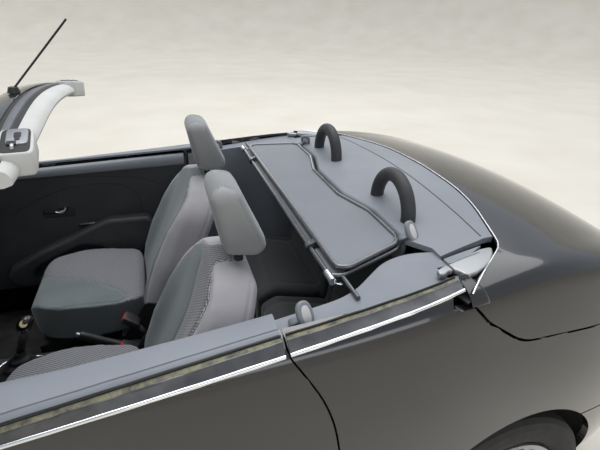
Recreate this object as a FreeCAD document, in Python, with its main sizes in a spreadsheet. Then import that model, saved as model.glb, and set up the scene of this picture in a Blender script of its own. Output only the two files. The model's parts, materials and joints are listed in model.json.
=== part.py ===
"""A small two-door convertible car with its folding hard roof stowed, four seats and a wind deflector.

The frame: +X is forward, +Y is the car's left, +Z is up. The origin is on the ground,
below the middle of the car's length and width. Lengths are in millimetres.
The body is one lofted outer form. Each panel is a piece of its skin, cut out with a shut gap round it.
"""
import FreeCAD, Part
import math
import os
import Sketcher
from FreeCAD import Placement, Rotation, Vector

doc = FreeCAD.newDocument("convertible")
sheet = doc.addObject("Spreadsheet::Sheet", "Sizes")

# alias, value, what it is
SIZES = [
    ("wheelbase", 2432, "front axle to rear axle"),
    ("front_overhang", 690, "front axle to nose"),
    ("rear_overhang", 684, "rear axle to tail"),
    ("half_width", 834, "centre to the widest point of the side"),
    ("ground_clearance", 190, "ground to the sill's lower edge"),
    ("skin_wall", 18, "thickness of the outer panels"),
    ("shut_gap", 5, "gap between panels"),
    ("rest_gap", 0.3, "gap between pieces that rest on each other"),
    ("pin_gap", 0.05, "gap round a pin or a shaft"),
    ("track_front", 1450, "between the front wheels' centres"),
    ("track_rear", 1440, "between the rear wheels' centres"),
    ("tyre_radius", 295, "wheel centre to tread"),
    ("tyre_width", 185, "across the tyre"),
    ("rim_radius", 196, "wheel centre to the rim's flange"),
    ("arch_gap", 50, "tread to the wheel arch's lip"),
    ("spoke_count", 7, "spokes of each rim"),
    ("disc_radius", 130, "brake disc"),
    ("hub_bore", 30, "radius of the rim's centre bore"),
    ("door_front", 745, "x of the door's front edge at the waist"),
    ("door_rear", -533, "x of the door's rear edge at the waist"),
    ("door_inner", 725, "y of the door shell's inner face"),
    ("door_bottom", 312, "z of the door's lower edge"),
    ("trim_inner", 672, "y of the door trim's inner face"),
    ("bonnet_rear", 1030, "x of the bonnet's rear edge"),
    ("bonnet_side", 610, "half width of the bonnet"),
    ("lid_front", -1300, "x of the boot lid's front edge at the centre"),
    ("lid_side_height", 863, "z of the boot lid's side edge"),
    ("lid_half_width", 505, "half width of the boot lid's rear face"),
    ("lid_bottom", 640, "z of the boot lid's lower edge"),
    ("bumper_top", 640, "z of the bumpers' upper edge"),
    ("screen_base_x", 1010, "x of the windscreen's lower edge at the centre"),
    ("screen_base_z", 950, "z of the windscreen's lower edge"),
    ("screen_top_x", 70, "x of the windscreen's upper edge at the centre"),
    ("screen_top_z", 1375, "z of the windscreen's upper edge at the centre"),
    ("header_depth", 130, "length of the roof header behind the windscreen"),
    ("glass_wall", 5, "thickness of the windscreen"),
    ("pillar_width", 62, "width of a windscreen pillar"),
    ("seat_spacing", 700, "between the front seats' centres"),
    ("seat_width", 500, "across a front seat's cushion"),
    ("cushion_height", 575, "top of the front seats' cushions"),
    ("backrest_lean", 24, "lean of the front seats' backs, in degrees"),
    ("shoulder_width", 436, "across a front seat's back at its shoulders"),
    ("headrest_width", 216, "across a headrest at its widest"),
    ("headrest_top", 1215, "top of the headrests"),
    ("hoop_spacing", 586, "between the roll hoops' centres"),
    ("hoop_width", 209, "across a roll hoop, between its legs' centres"),
    ("hoop_height", 130, "a roll hoop above the deck"),
    ("hoop_tube", 22, "radius of a roll hoop's tube"),
    ("hoop_x", -1015, "x of the roll hoops"),
    ("deck_height", 1050, "z of the deck under the roll hoops"),
    ("deflector_front", -707, "x of the wind deflector's front tube"),
    ("deflector_width", 1160, "across the wind deflector's front tube"),
    ("deflector_tube", 7, "radius of the wind deflector's tubes"),
    ("deflector_pin", 5.9, "radius of the wind deflector's side pins"),
    ("steering_radius", 186, "steering wheel, to the middle of its rim"),
    ("column_angle", 24, "steering column above the horizontal, in degrees"),
    ("engine_width", 620, "engine and gearbox, across the car"),
    ("engine_depth", 420, "engine and gearbox, along the car"),
    ("engine_height", 480, "engine and gearbox, from sump to cover"),
]

for line, (alias, value, words) in enumerate(SIZES, start=1):
    sheet.set(f"A{line}", words)
    sheet.set(f"B{line}", str(value))
    sheet.setAlias(f"B{line}", alias)
doc.recompute()


def size(alias):
    return float(sheet.get(alias))


FRONT_AXLE = (size("wheelbase") + size("rear_overhang") - size("front_overhang")) / 2
REAR_AXLE = FRONT_AXLE - size("wheelbase")
NOSE = FRONT_AXLE + size("front_overhang")
TAIL = REAR_AXLE - size("rear_overhang")
GAP = size("shut_gap")
REST = size("rest_gap")
SKIN = size("skin_wall")
HALF = size("half_width")
SILL = size("ground_clearance")
AXLE_Z = size("tyre_radius")
ARCH = size("tyre_radius") + size("arch_gap")
REACH = 1000
HIGH = 1600
SIDES = (("left", 1), ("right", -1))


# Small helpers for outlines and solids

def arc(a, b, c):
    return Part.Arc(Vector(*a), Vector(*b), Vector(*c)).toShape()


def line(a, b):
    return Part.LineSegment(Vector(*a), Vector(*b)).toShape()


def rounded_outline(corners):
    """A closed flat outline. Each corner is (u, v) or (u, v, radius)."""
    points = [Vector(c[0], c[1], 0) for c in corners]
    radii = [c[2] if len(c) > 2 else 0 for c in corners]
    count = len(points)
    ends = []
    for i in range(count):
        before, here, after = points[i - 1], points[i], points[(i + 1) % count]
        if radii[i] <= 0:
            ends.append((here, None, here))
            continue
        a = (before - here).normalize()
        b = (after - here).normalize()
        half = a.getAngle(b) / 2
        cut = radii[i] / math.tan(half)
        middle = (a + b).normalize()
        centre = here + middle * (radii[i] / math.sin(half))
        ends.append((here + a * cut, centre - middle * radii[i], here + b * cut))
    edges = []
    for i in range(count):
        first, through, last = ends[i]
        if through is not None:
            edges.append(Part.Arc(first, through, last).toShape())
        start = ends[(i + 1) % count][0]
        if (start - last).Length > 1e-6:
            edges.append(Part.LineSegment(last, start).toShape())
    return Part.Wire(edges)


def prism(corners, plane, low, high):
    """A flat outline, drawn in the plane xy, xz or yz, made solid between two heights across it."""
    face = Part.Face(rounded_outline(corners))
    turn = {
        "xy": Rotation(),
        "xz": Rotation(Vector(1, 0, 0), 90),
        "yz": Rotation(Vector(1, 1, 1), 120),
    }[plane]
    across = {"xy": Vector(0, 0, 1), "xz": Vector(0, 1, 0), "yz": Vector(1, 0, 0)}[plane]
    face.Placement = Placement(across * low, turn)
    return face.extrude(across * (high - low))


def box(x0, x1, y0, y1, z0, z1):
    return Part.makeBox(x1 - x0, y1 - y0, z1 - z0, Vector(x0, y0, z0))


def rod(start, end, radius):
    a, b = Vector(*start), Vector(*end)
    return Part.makeCylinder(radius, (b - a).Length, a, b - a)


def mirrored(shape):
    return shape.mirror(Vector(0, 0, 0), Vector(0, 1, 0))


def both_sides(shape):
    return Part.makeCompound([shape, mirrored(shape)])


def one(shape):
    """A shape as one solid or as a compound of solids, with faces that lie in one surface joined."""
    joined = shape.removeSplitter()
    solids = joined.Solids if joined.isValid() else shape.Solids
    return solids[0] if len(solids) == 1 else Part.makeCompound(solids)


def biggest(shape):
    return max(shape.Solids, key=lambda s: s.Volume)


def softened(shape, radius, wanted=None):
    """The shape with its edges rounded. Where the kernel refuses the radius, a smaller one is tried."""
    edges = [e for e in shape.Edges if wanted is None or wanted(e)]
    for share in (1.0, 0.6, 0.3):
        try:
            done = shape.makeFillet(radius * share, edges)
        except Part.OCCError:
            continue
        if done.isValid() and done.Solids:
            return done
    return shape


NODES = []


def keep(label, shape):
    """A sub-part whose form neither a sketch nor a primitive makes."""
    feature = doc.addObject("Part::Feature", label)
    feature.Label = label
    made = one(shape)
    feature.Shape = made
    feature.Placement = made.Placement
    NODES.append(feature)
    return feature


# The outer form

# anchor, x from it, then y and z of the lower edge, the widest point, the shoulder's start and its end,
# and z of the crown. The anchor is an axle for the ends, and the middle of the wheelbase between them.
STATIONS = [
    ("front", 690, 300, 330, 345, 450, 300, 570, 235, 600, 606),
    ("front", 668, 480, 262, 535, 445, 490, 610, 410, 652, 665),
    ("front", 600, 620, 215, 690, 450, 640, 668, 540, 722, 745),
    ("front", 480, 700, 192, 775, 470, 725, 745, 615, 805, 835),
    ("front", 300, 745, 190, 815, 490, 770, 805, 650, 868, 898),
    ("front", 0, 765, 190, 830, 510, 790, 850, 680, 915, 950),
    ("middle", 900, 772, 190, 833, 525, 797, 870, 705, 932, 966),
    ("middle", 400, 775, 190, 834, 545, 802, 890, 735, 945, 970),
    ("middle", 0, 775, 190, 834, 560, 802, 915, 745, 965, 985),
    ("middle", -500, 775, 190, 834, 580, 798, 950, 740, 1000, 1012),
    ("middle", -950, 768, 190, 831, 595, 775, 985, 700, 1038, 1052),
    ("rear", 50, 760, 195, 822, 600, 750, 985, 655, 1050, 1078),
    ("rear", -250, 740, 210, 800, 595, 722, 955, 620, 1022, 1058),
    ("rear", -480, 690, 235, 752, 580, 680, 900, 575, 965, 1000),
    ("rear", -600, 620, 262, 680, 560, 610, 840, 505, 900, 932),
    ("rear", -660, 520, 290, 570, 535, 500, 740, 400, 800, 825),
    ("rear", -684, 400, 330, 440, 500, 390, 640, 300, 690, 705),
]
ANCHORS = {"front": FRONT_AXLE, "middle": (FRONT_AXLE + REAR_AXLE) / 2, "rear": REAR_AXLE}
TABLE_HALF_WIDTH = 834
TABLE_SILL = 190


def section(row, inset):
    """One cross-section of the body, moved inwards by inset."""
    anchor, dx, *sizes = row
    x = (ANCHORS[anchor] + dx) * (1 - inset / NOSE)
    wider = HALF - TABLE_HALF_WIDTH
    lower = SILL - TABLE_SILL
    ya, za, yb, zb, yc, zc, yd, zd, ze = sizes
    a = (x, ya + wider - inset, za + lower + inset)
    b = (x, yb + wider - inset, zb)
    c = (x, yc + wider - inset, zc - inset)
    d = (x, yd + wider - inset, zd - inset)
    e = (x, 0, ze - inset)
    corner = (x, c[1], d[2])
    m = tuple(0.25 * p + 0.5 * q + 0.25 * r for p, q, r in zip(c, corner, d))

    def flip(p):
        return (p[0], -p[1], p[2])

    return Part.Wire([
        line(flip(a), a),
        arc(a, b, c),
        arc(c, m, d),
        arc(d, e, flip(d)),
        arc(flip(d), flip(m), flip(c)),
        arc(flip(c), flip(b), flip(a)),
    ])


def body_form(inset):
    return Part.makeLoft([section(row, inset) for row in STATIONS], True, False)


OUTER = body_form(0)
INNER = body_form(SKIN)
INSIDE = body_form(SKIN + REST)
SKIN_LAYER = OUTER.cut(INNER)


def panel(region, without=()):
    """The piece of the skin inside a region, with other regions left out."""
    piece = SKIN_LAYER.common(region)
    for other in without:
        piece = piece.cut(other)
    return piece


# Where the panels meet

ARCH_FROM_Y = 560


def wheel_openings(radius):
    """The room of all four wheels, out from their inner sides."""
    rounds = []
    for x in (FRONT_AXLE, REAR_AXLE):
        rounds.append(rod((x, ARCH_FROM_Y, AXLE_Z), (x, REACH, AXLE_Z), radius))
        rounds.append(rod((x, -ARCH_FROM_Y, AXLE_Z), (x, -REACH, AXLE_Z), radius))
    return Part.makeCompound(rounds)


DOOR_F, DOOR_R = size("door_front"), size("door_rear")
DOOR_Y = size("door_inner")


def door_region(inset, y0=DOOR_Y):
    """The left door's outline seen from its side, made smaller by inset."""
    low = size("door_bottom") + inset
    front, rear = DOOR_F - inset, DOOR_R + inset
    return prism([
        (rear, HIGH),
        (rear, 985, 40),
        (rear - 92, 839, 400),
        (rear - 128, 620, 400),
        (rear - 90, low, 110),
        (front, low, 60),
        (front, HIGH),
    ], "xz", y0, REACH)


BUMPER_TOP = size("bumper_top")
BUMPER_STEP = BUMPER_TOP - 80


def front_bumper_region(inset):
    return prism([
        (FRONT_AXLE + 120, 0),
        (FRONT_AXLE + 120, BUMPER_STEP - inset),
        (FRONT_AXLE + 330, BUMPER_STEP - inset, 60),
        (FRONT_AXLE + 430, BUMPER_TOP - inset, 60),
        (NOSE + 50, BUMPER_TOP - inset),
        (NOSE + 50, 0),
    ], "xz", -REACH, REACH)


def rear_bumper_region(inset):
    return prism([
        (REAR_AXLE - 120, 0),
        (REAR_AXLE - 120, BUMPER_STEP - inset),
        (REAR_AXLE - 330, BUMPER_STEP - inset, 60),
        (REAR_AXLE - 430, BUMPER_TOP - inset, 60),
        (TAIL - 50, BUMPER_TOP - inset),
        (TAIL - 50, 0),
    ], "xz", -REACH, REACH)


BONNET_R, BONNET_Y = size("bonnet_rear"), size("bonnet_side")


def bonnet_region(inset):
    y = BONNET_Y - inset
    return prism([
        (BONNET_R + inset, -y),
        (BONNET_R + inset, y),
        (FRONT_AXLE + 200, y - 12, 500),
        (FRONT_AXLE + 470, y - 150, 260),
        (NOSE + 50, y - 300),
        (NOSE + 50, 300 - y),
        (FRONT_AXLE + 470, 150 - y, 260),
        (FRONT_AXLE + 200, 12 - y, 500),
    ], "xy", BUMPER_TOP + inset, HIGH)


LID_F, LID_SIDE = size("lid_front"), size("lid_side_height")
LID_Y, LID_LOW = size("lid_half_width"), size("lid_bottom")


LID_PIN = (-988, 655, 1000)
LID_CORNER_Y = 772
LID_SWEEP = 54


def lid_region(inset):
    """The boot lid: its top with the shoulders, seen from above and from the side, and its rear face."""
    front = LID_F - inset
    half = [(front, 0), (front + 12, 300, 900), (front + 118, 600, 120), (front + 312, 752),
        (front + 312, REACH)]
    plan = half + [(TAIL - 50, REACH), (TAIL - 50, -REACH)] + [(c[0], -c[1], *c[2:]) for c in half[:0:-1]]
    top = prism(plan, "xy", 0, HIGH).common(prism([
        (front + 310, HIGH),
        (front + 310, LID_SIDE + 150 + inset),
        (front + 262, LID_SIDE + 95 + inset, 80),
        (front + 150, LID_SIDE + 20 + inset, 150),
        (front - 100, LID_SIDE + inset, 400),
        (TAIL - 50, LID_SIDE - 25 + inset),
        (TAIL - 50, HIGH),
    ], "xz", -REACH, REACH))
    rear = prism([
        (LID_Y - inset, HIGH),
        (LID_Y - inset, LID_LOW + inset, 50),
        (inset - LID_Y, LID_LOW + inset, 50),
        (inset - LID_Y, HIGH),
    ], "yz", TAIL - 50, TAIL + 250)
    return top.fuse(rear)


LAMP_CENTRE = (FRONT_AXLE + 385, 628, 762)
LAMP_SIZE = (205, 118, 112)


def headlamp_form(grow):
    """An egg-shaped lamp that stands proud of the wing. Left side."""
    egg = Part.makeSphere(1)
    stretch = FreeCAD.Matrix()
    stretch.scale(*(half + grow for half in LAMP_SIZE))
    egg = egg.transformGeometry(stretch)
    egg.Placement = Placement(Vector(*LAMP_CENTRE), Rotation(-14, 28, 0))
    return egg


def tail_lamp_region(inset):
    """Left side, seen from behind and from the side."""
    from_behind = prism([
        (LID_Y + GAP + inset, LID_LOW + 15 + inset, 45),
        (REACH, LID_LOW + 15 + inset),
        (REACH, LID_SIDE - 22 - GAP - inset),
        (LID_Y + GAP + inset, LID_SIDE - 22 - GAP - inset, 45),
    ], "yz", TAIL - 50, TAIL + 400)
    from_side = prism([
        (TAIL - 50, 400),
        (TAIL + 150 - inset, 400),
        (TAIL + 150 - inset, LID_LOW + 60, 60),
        (TAIL + 245 - inset, LID_SIDE - 60, 60),
        (TAIL + 245 - inset, HIGH),
        (TAIL - 50, HIGH),
    ], "xz", 0, REACH)
    return from_behind.common(from_side)


# Body panels

ARCHES = wheel_openings(ARCH)
LAMP_HOLES = both_sides(headlamp_form(4))
TAIL_LAMP_HOLES = both_sides(tail_lamp_region(-GAP / 2))
LOW_SIDE_Y = 700


def front_wing():
    """From the door to the bumper, up to the bonnet, without the end of the sill under the door."""
    low = size("door_bottom") - GAP
    from_side = prism([
        (DOOR_F - 60, HIGH), (NOSE, HIGH), (NOSE, 100), (DOOR_F + 55, 100), (DOOR_F + 55,
            low), (DOOR_F - 60, low),
    ], "xz", 0, REACH)
    from_front = prism([
        (BONNET_Y - 260, HIGH), (REACH, HIGH), (REACH, 100), (LOW_SIDE_Y, 100), (LOW_SIDE_Y, SILL + 90),
        (BONNET_Y - 260, SILL + 90),
    ], "yz", 0, NOSE)
    return biggest(panel(from_side.common(from_front), [
        door_region(-GAP, 0), front_bumper_region(-GAP), bonnet_region(-GAP), ARCHES, LAMP_HOLES,
        box(0, BONNET_R + 60, -REACH, BONNET_Y + GAP, 0, HIGH),
    ]))


keep("front_wings", both_sides(front_wing()))

UPPER_INTAKE = prism([(-330, 548, 18), (330, 548, 18), (330, 592, 18), (-330, 592, 18)], "yz", NOSE - 300,
    NOSE + 50)
LOWER_INTAKE = prism([(-390, 300, 40), (390, 300, 40), (330, 440, 40), (-330, 440, 40)], "yz", NOSE - 300,
    NOSE + 50)
keep("front_bumper", biggest(panel(front_bumper_region(0), [
    ARCHES, LAMP_HOLES, UPPER_INTAKE, LOWER_INTAKE, box(FRONT_AXLE, NOSE - 120, -620, 620, 0, 260),
])))

GRILLE_BARS = 5


def front_grille():
    """Two slatted panels just behind the bumper's openings."""
    behind = body_form(SKIN + 0.3).cut(body_form(SKIN + 14))
    upper = prism([(-350, 534), (350, 534), (350, 606), (-350, 606)], "yz", NOSE - 300, NOSE)
    lower = prism([(-410, 285), (410, 285), (350, 455), (-350, 455)], "yz", NOSE - 300, NOSE)
    slots = [box(NOSE - 300, NOSE, -325, 325, 562, 578)]
    for i in range(GRILLE_BARS):
        low = 306 + i * 27
        slots.append(box(NOSE - 300, NOSE, -380 + 9 * i, 380 - 9 * i, low, low + 17))
    pieces = [behind.common(upper), behind.common(lower)]
    return Part.makeCompound([p.cut(Part.makeCompound(slots)) for p in pieces])


keep("front_grille", front_grille())
keep("headlamps", both_sides(headlamp_form(0)))

QUARTER_TOP_Y = DOOR_Y


def rear_quarter():
    """The body side behind the door, with the sill under it."""
    sill_top = size("door_bottom") - GAP
    from_side = prism([
        (TAIL, HIGH), (DOOR_R + 15, HIGH), (DOOR_R + 15, sill_top), (DOOR_F + 50, sill_top),
        (DOOR_F + 50, 100), (TAIL, 100),
    ], "xz", 0, REACH)
    from_above = prism([
        (TAIL, 400), (REAR_AXLE - ARCH - 20, 400), (REAR_AXLE - ARCH - 20, LOW_SIDE_Y),
        (LID_F + 250, LOW_SIDE_Y),
        (LID_F + 250, QUARTER_TOP_Y), (DOOR_R, QUARTER_TOP_Y), (DOOR_R + 20, LOW_SIDE_Y),
        (DOOR_F + 55, LOW_SIDE_Y),
        (DOOR_F + 55, REACH), (TAIL, REACH),
    ], "xy", 0, HIGH)
    x, _, z = LID_PIN
    sweep = rod((x, 700, z), (x, LID_CORNER_Y, z), LID_SWEEP)
    corner_room = sweep.common(box(x - LID_SWEEP, x + LID_SWEEP, 700, LID_CORNER_Y, z, HIGH))
    return biggest(panel(from_side.common(from_above), [
        door_region(-GAP, 0), rear_bumper_region(-GAP), lid_region(-GAP), ARCHES, TAIL_LAMP_HOLES,
        corner_room,
    ]))


keep("body_sides", both_sides(rear_quarter()))
TAILPIPE_Y, TAILPIPE = -400, 24
tailpipe_notch = box(TAIL - 50, TAIL + 200, TAILPIPE_Y - TAILPIPE - 10, TAILPIPE_Y + TAILPIPE + 10, 0, 310)
keep("rear_bumper", biggest(panel(rear_bumper_region(0), [
    ARCHES, box(TAIL + 120, REAR_AXLE, -620, 620, 0, 290), tailpipe_notch,
])))
lamp_layer = OUTER.cut(body_form(45))
keep("tail_lamps", both_sides(biggest(lamp_layer.common(tail_lamp_region(0)))))


# Doors

def door_shell():
    core = OUTER.common(door_region(22))
    flange = panel(door_region(0))
    return biggest(core.fuse(flange))


TRIM_REAR = DOOR_R + 89


def door_trim():
    """The inner lining of the left door, with its armrest, map pocket and handle recess."""
    inner = size("trim_inner")
    low, top = size("door_bottom") + 45, 948
    outline = [
        (TRIM_REAR, top + 12, 12), (TRIM_REAR, low, 60), (DOOR_F - 35, low, 60), (DOOR_F - 45, top - 45,
            20),
    ]
    lining = prism(outline, "xz", inner, DOOR_Y - 0.3)
    armrest = softened(prism([
        (-270, 640, 60), (-250, 690, 40), (-60, 690, 90), (240, 560, 120), (420, 470, 60), (380, 380, 60),
        (200, 380, 60), (-60, 470, 60), (-230, 470, 60),
    ], "xz", inner - 55, inner + 5), 18, lambda e: e.CenterOfMass.y < inner - 54)
    pocket = prism([(-30, 560, 30), (60, 590, 60), (260, 500, 50), (330, 420, 30), (40, 420, 40),
        (-40, 480, 30)],
                   "xz", inner - 60, inner + 30)
    handle = prism([(75, 700, 20), (75, 752, 20), (215, 752, 20), (215, 700, 20)], "xz", inner - 1,
        inner + 22)
    return biggest(lining.fuse(armrest).cut(pocket).cut(handle))


def mirror_head():
    """The door mirror's shell with its foot. Its flat rear side holds the glass."""
    head = prism([(820, 925, 30), (828, 1035, 40), (1010, 1046, 48), (1026, 940, 42)], "yz", 612, 735)
    head = softened(head, 60, lambda e: e.CenterOfMass.x > 730)
    foot = Part.makeCone(34, 42, 150, Vector(655, 905, 968), Vector(0, -0.96, -0.28))
    return biggest(head.fuse(foot.cut(OUTER)))


HINGE_X = DOOR_F - 60
HINGE_Y = HALF - 16
HINGE_HEIGHTS = (450, 700)
PIN = 4
LEAF = 8
PIN_GAP = size("pin_gap")


def around_hinge(corners, low, high):
    return prism([(HINGE_X + c[0], HINGE_Y + c[1]) for c in corners], "xy", low, high)


def hinge_room():
    """The slots in a door for the two fixed hinge leaves, with the bores for their pins."""
    pieces = []
    for z in HINGE_HEIGHTS:
        low, high = z - LEAF / 2 - 1.5, z + LEAF / 2 + 1.5
        pieces.append(around_hinge([(-9, 0), (-9, -110), (110, -110), (110, -42), (3.4, 7.2)], low, high))
        pieces.append(rod((HINGE_X, HINGE_Y, low), (HINGE_X, HINGE_Y, high), 2 * PIN))
        pieces.append(rod((HINGE_X, HINGE_Y, z - 18), (HINGE_X, HINGE_Y, z + 18), PIN + PIN_GAP))
    return Part.makeCompound(pieces)


def hinge_leaves():
    """The fixed halves of the left door's hinges, which reach from the pillar into the door."""
    pieces = []
    for z in HINGE_HEIGHTS:
        leaf = around_hinge([
            (-7, 0), (-7, -85), (85, -85), (85, -112), (110, -112), (110, -66), (7, -66), (7, 0),
        ], z - LEAF / 2, z + LEAF / 2)
        boss = rod((HINGE_X, HINGE_Y, z - LEAF / 2), (HINGE_X, HINGE_Y, z + LEAF / 2), 7)
        pin = rod((HINGE_X, HINGE_Y, z - 17), (HINGE_X, HINGE_Y, z + 17), PIN)
        pieces.append(leaf.fuse([boss, pin]))
    return pieces


DOOR_PIECES = (
    ("door_shell", biggest(door_shell().cut(hinge_room()))), ("door_trim", door_trim()), ("door_mirror",
        mirror_head()),
)
for name, way in SIDES:
    for label, made in DOOR_PIECES:
        keep(f"{label}_{name}", made if way > 0 else mirrored(made))


# Windscreen

BASE_MID = Vector(size("screen_base_x"), 0, size("screen_base_z"))
BASE_SIDE = Vector(size("screen_base_x") - 245, 672, size("screen_base_z") - 28)
TOP_MID = Vector(size("screen_top_x"), 0, size("screen_top_z"))
TOP_SIDE = Vector(size("screen_top_x") - 45, 512, size("screen_top_z") - 52)
SCREEN_OUT = Vector(TOP_MID.z - BASE_MID.z, 0, BASE_MID.x - TOP_MID.x).normalize()


def screen_arc(share, side_inset=0):
    """The screen's cross curve at a share of the way from its lower edge to its upper one."""
    middle = BASE_MID + (TOP_MID - BASE_MID) * share
    side = BASE_SIDE + (TOP_SIDE - BASE_SIDE) * share
    along = (side.y - side_inset) / side.y
    side = Vector(middle.x + (side.x - middle.x) * along ** 2, side.y * along,
        middle.z + (side.z - middle.z) * along ** 2)
    return Part.Arc(Vector(side.x, -side.y, side.z), middle, side).toShape()


def screen_slab(first, last, side_inset, low, high):
    face = Part.makeRuledSurface(screen_arc(first, side_inset), screen_arc(last, side_inset))
    face.translate(SCREEN_OUT * low)
    return face.extrude(SCREEN_OUT * (high - low))


WINDOW = softened(screen_slab(0.075, 0.955, size("pillar_width"), -80, 60), 45,
                  lambda e: abs(e.tangentAt(e.FirstParameter).dot(SCREEN_OUT)) > 0.99)


def screen_frame():
    band = screen_slab(-0.04, 1.0, 0, -38, 0)
    return biggest(band.cut(WINDOW).cut(OUTER))


def header():
    """The roof header behind the windscreen's upper edge."""
    depth = size("header_depth")
    wires = []
    for share in (-1, -0.5, 0, 0.5, 1):
        x = TOP_MID.x + (TOP_SIDE.x - TOP_MID.x) * share ** 2
        z = TOP_MID.z + (TOP_SIDE.z - TOP_MID.z) * share ** 2
        y = TOP_SIDE.y * share
        points = [(0.3, 0), (-depth * 0.6, 6), (-depth, 0), (-depth - 6, -16), (-depth * 0.55, -40),
            (0.3, -38)]
        wires.append(Part.makePolygon([Vector(x + a, y, z + b) for a, b in points + points[:1]]))
    return biggest(Part.makeLoft(wires, True, False).cut(screen_slab(-0.04, 1.0, 0, -60, 20)))


keep("windscreen_frame", screen_frame())
keep("windscreen_glass", biggest(WINDOW.common(screen_slab(0, 1.0, 0, -10 - size("glass_wall"), -10))))
roof = header()
keep("roof_header", roof)
BONNET_PIN_X = BONNET_R - 30
BONNET_PIN_Y = 585


def top_of(shape, x, y):
    """The height of a shape's uppermost point over a place."""
    probe = line((x, y, 0), (x, y, HIGH))
    return shape.common(probe).BoundBox.ZMax


BONNET_PIN_Z = top_of(OUTER, BONNET_PIN_X, BONNET_PIN_Y) - SKIN / 2
hinge_notches = both_sides(box(BONNET_PIN_X - 40, BONNET_R, BONNET_PIN_Y - 22, BONNET_PIN_Y + 22, 800,
    HIGH))
keep("cowl_panel", biggest(panel(box(DOOR_F + GAP, BONNET_R - 3 * GAP, -BONNET_Y, BONNET_Y, 800, HIGH),
    [hinge_notches])))


# Structure under the panels

FLOOR_TOP = SILL + SKIN
FIREWALL_X = 965
REAR_STEP = -640
REAR_FLOOR = 400
REAR_WIDTH = 590
FRONT_WIDTH = 440
LINER = ARCH + 15
LINER_WALL = 8
BULKHEAD_X = size("hoop_x") - size("hoop_tube") - REST
TRACK_F, TRACK_R = size("track_front") / 2, size("track_rear") / 2


def arch_rooms(radius, grow=0):
    """The room of all four arch liners, which no other piece may enter."""
    rounds = []
    for x, y in ((FRONT_AXLE, FRONT_WIDTH), (REAR_AXLE, REAR_WIDTH)):
        rounds.append(rod((x, y - grow, AXLE_Z), (x, REACH, AXLE_Z), radius + grow))
        rounds.append(rod((x, grow - y, AXLE_Z), (x, -REACH, AXLE_Z), radius + grow))
    return Part.makeCompound(rounds)


ARCH_ROOMS = arch_rooms(LINER + LINER_WALL, REST)
KINGPIN = 24
KINGPIN_LEAN = 0.206
KINGPIN_LOW = Vector(FRONT_AXLE, TRACK_F - 55, 170)


def kingpin_at(z):
    """A point of the left kingpin's axis, which leans inwards at its top."""
    return Vector(FRONT_AXLE, KINGPIN_LOW.y - KINGPIN_LEAN * (z - KINGPIN_LOW.z), z)


def wheel_arches():
    pieces = []
    for x, y in ((FRONT_AXLE, FRONT_WIDTH), (REAR_AXLE, REAR_WIDTH)):
        cup = rod((x, y, AXLE_Z), (x, REACH, AXLE_Z), LINER + LINER_WALL)
        cup = cup.cut(rod((x, y + LINER_WALL, AXLE_Z), (x, REACH, AXLE_Z), LINER))
        cup = cup.cut(box(x - 400, x + 400, y - 10, y + LINER_WALL, 0, REAR_FLOOR))
        cup = cup.cut(box(x - 400, x + 400, 0, REACH, 0, FLOOR_TOP + REST))
        if x == FRONT_AXLE:
            cup = cup.cut(rod(kingpin_at(300), kingpin_at(900), 45))
        pieces.append(cup.common(INSIDE))
    return Part.makeCompound([both_sides(p) for p in pieces])


def body_floor():
    """The floor with its step, the bulkheads at both ends of the cabin and the panel behind the boot."""
    plate = box(REAR_STEP, FIREWALL_X + 20, REST - LOW_SIDE_Y, LOW_SIDE_Y - REST, SILL, FLOOR_TOP)
    step = box(REAR_STEP - SKIN, REAR_STEP, -REAR_WIDTH, REAR_WIDTH, SILL, REAR_FLOOR + SKIN)
    rear = box(TAIL + 125, REAR_STEP, -REAR_WIDTH, REAR_WIDTH, REAR_FLOOR, REAR_FLOOR + SKIN)
    firewall = box(FIREWALL_X, FIREWALL_X + 20, -REACH, REACH, SILL, HIGH).common(INSIDE)
    foot = box(FIREWALL_X, FIREWALL_X + 20, -FRONT_WIDTH, FRONT_WIDTH, SILL, FLOOR_TOP + 10)
    bulkhead = box(BULKHEAD_X - 20, BULKHEAD_X, -REACH, REACH, REAR_FLOOR, HIGH).common(INSIDE)
    arms = both_sides(box(BULKHEAD_X - 30, BULKHEAD_X + 10, LID_PIN[1] - 15, LID_PIN[1] + 15,
        LID_PIN[2] - 30, HIGH))
    bulkhead = bulkhead.cut(arms)
    tail_panel = box(TAIL + 123, TAIL + 138, -REACH, REACH, REAR_FLOOR,
        LID_SIDE - 33).common(body_form(45 + REST))
    tail_panel = tail_panel.cut(box(TAIL, TAIL + 200, 20 - LID_Y, LID_Y - 20, LID_LOW, HIGH))
    tail_low = box(TAIL + 123, TAIL + 138, -REACH, REACH, REAR_FLOOR, LID_LOW).common(INSIDE)
    pillar = box(DOOR_F + 7, FIREWALL_X, 690, 710, SILL, 880).common(INSIDE)
    shell = plate.fuse([step, rear, firewall, foot, bulkhead, tail_panel, tail_low, both_sides(pillar)])
    shell = shell.cut(ARCH_ROOMS)
    extras = []
    for made in hinge_leaves() + [bonnet_bracket(), lid_bracket()]:
        extras += [made, mirrored(made)]
    return shell.fuse(extras)


def bonnet_bracket():
    """Two ears with the pin that the bonnet's left arm turns on."""
    x, y, z = BONNET_PIN_X, BONNET_PIN_Y, BONNET_PIN_Z
    ears = [box(FIREWALL_X, x + 10, y + a, y + a + 6, z - 60, z + 8) for a in (-19, 13)]
    return ears[0].fuse([ears[1], rod((x, y - 19, z), (x, y + 19, z), PIN)])


def lid_bracket():
    """Two ears on the rear bulkhead with the pin of the boot lid's left arm."""
    x, y, z = LID_PIN
    ears = [box(BULKHEAD_X - 20, x + 12, y + a, y + a + 6, z - 45, z + 12) for a in (-19, 13)]
    return ears[0].fuse([ears[1], rod((x, y - 19, z), (x, y + 19, z), PIN)])


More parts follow.
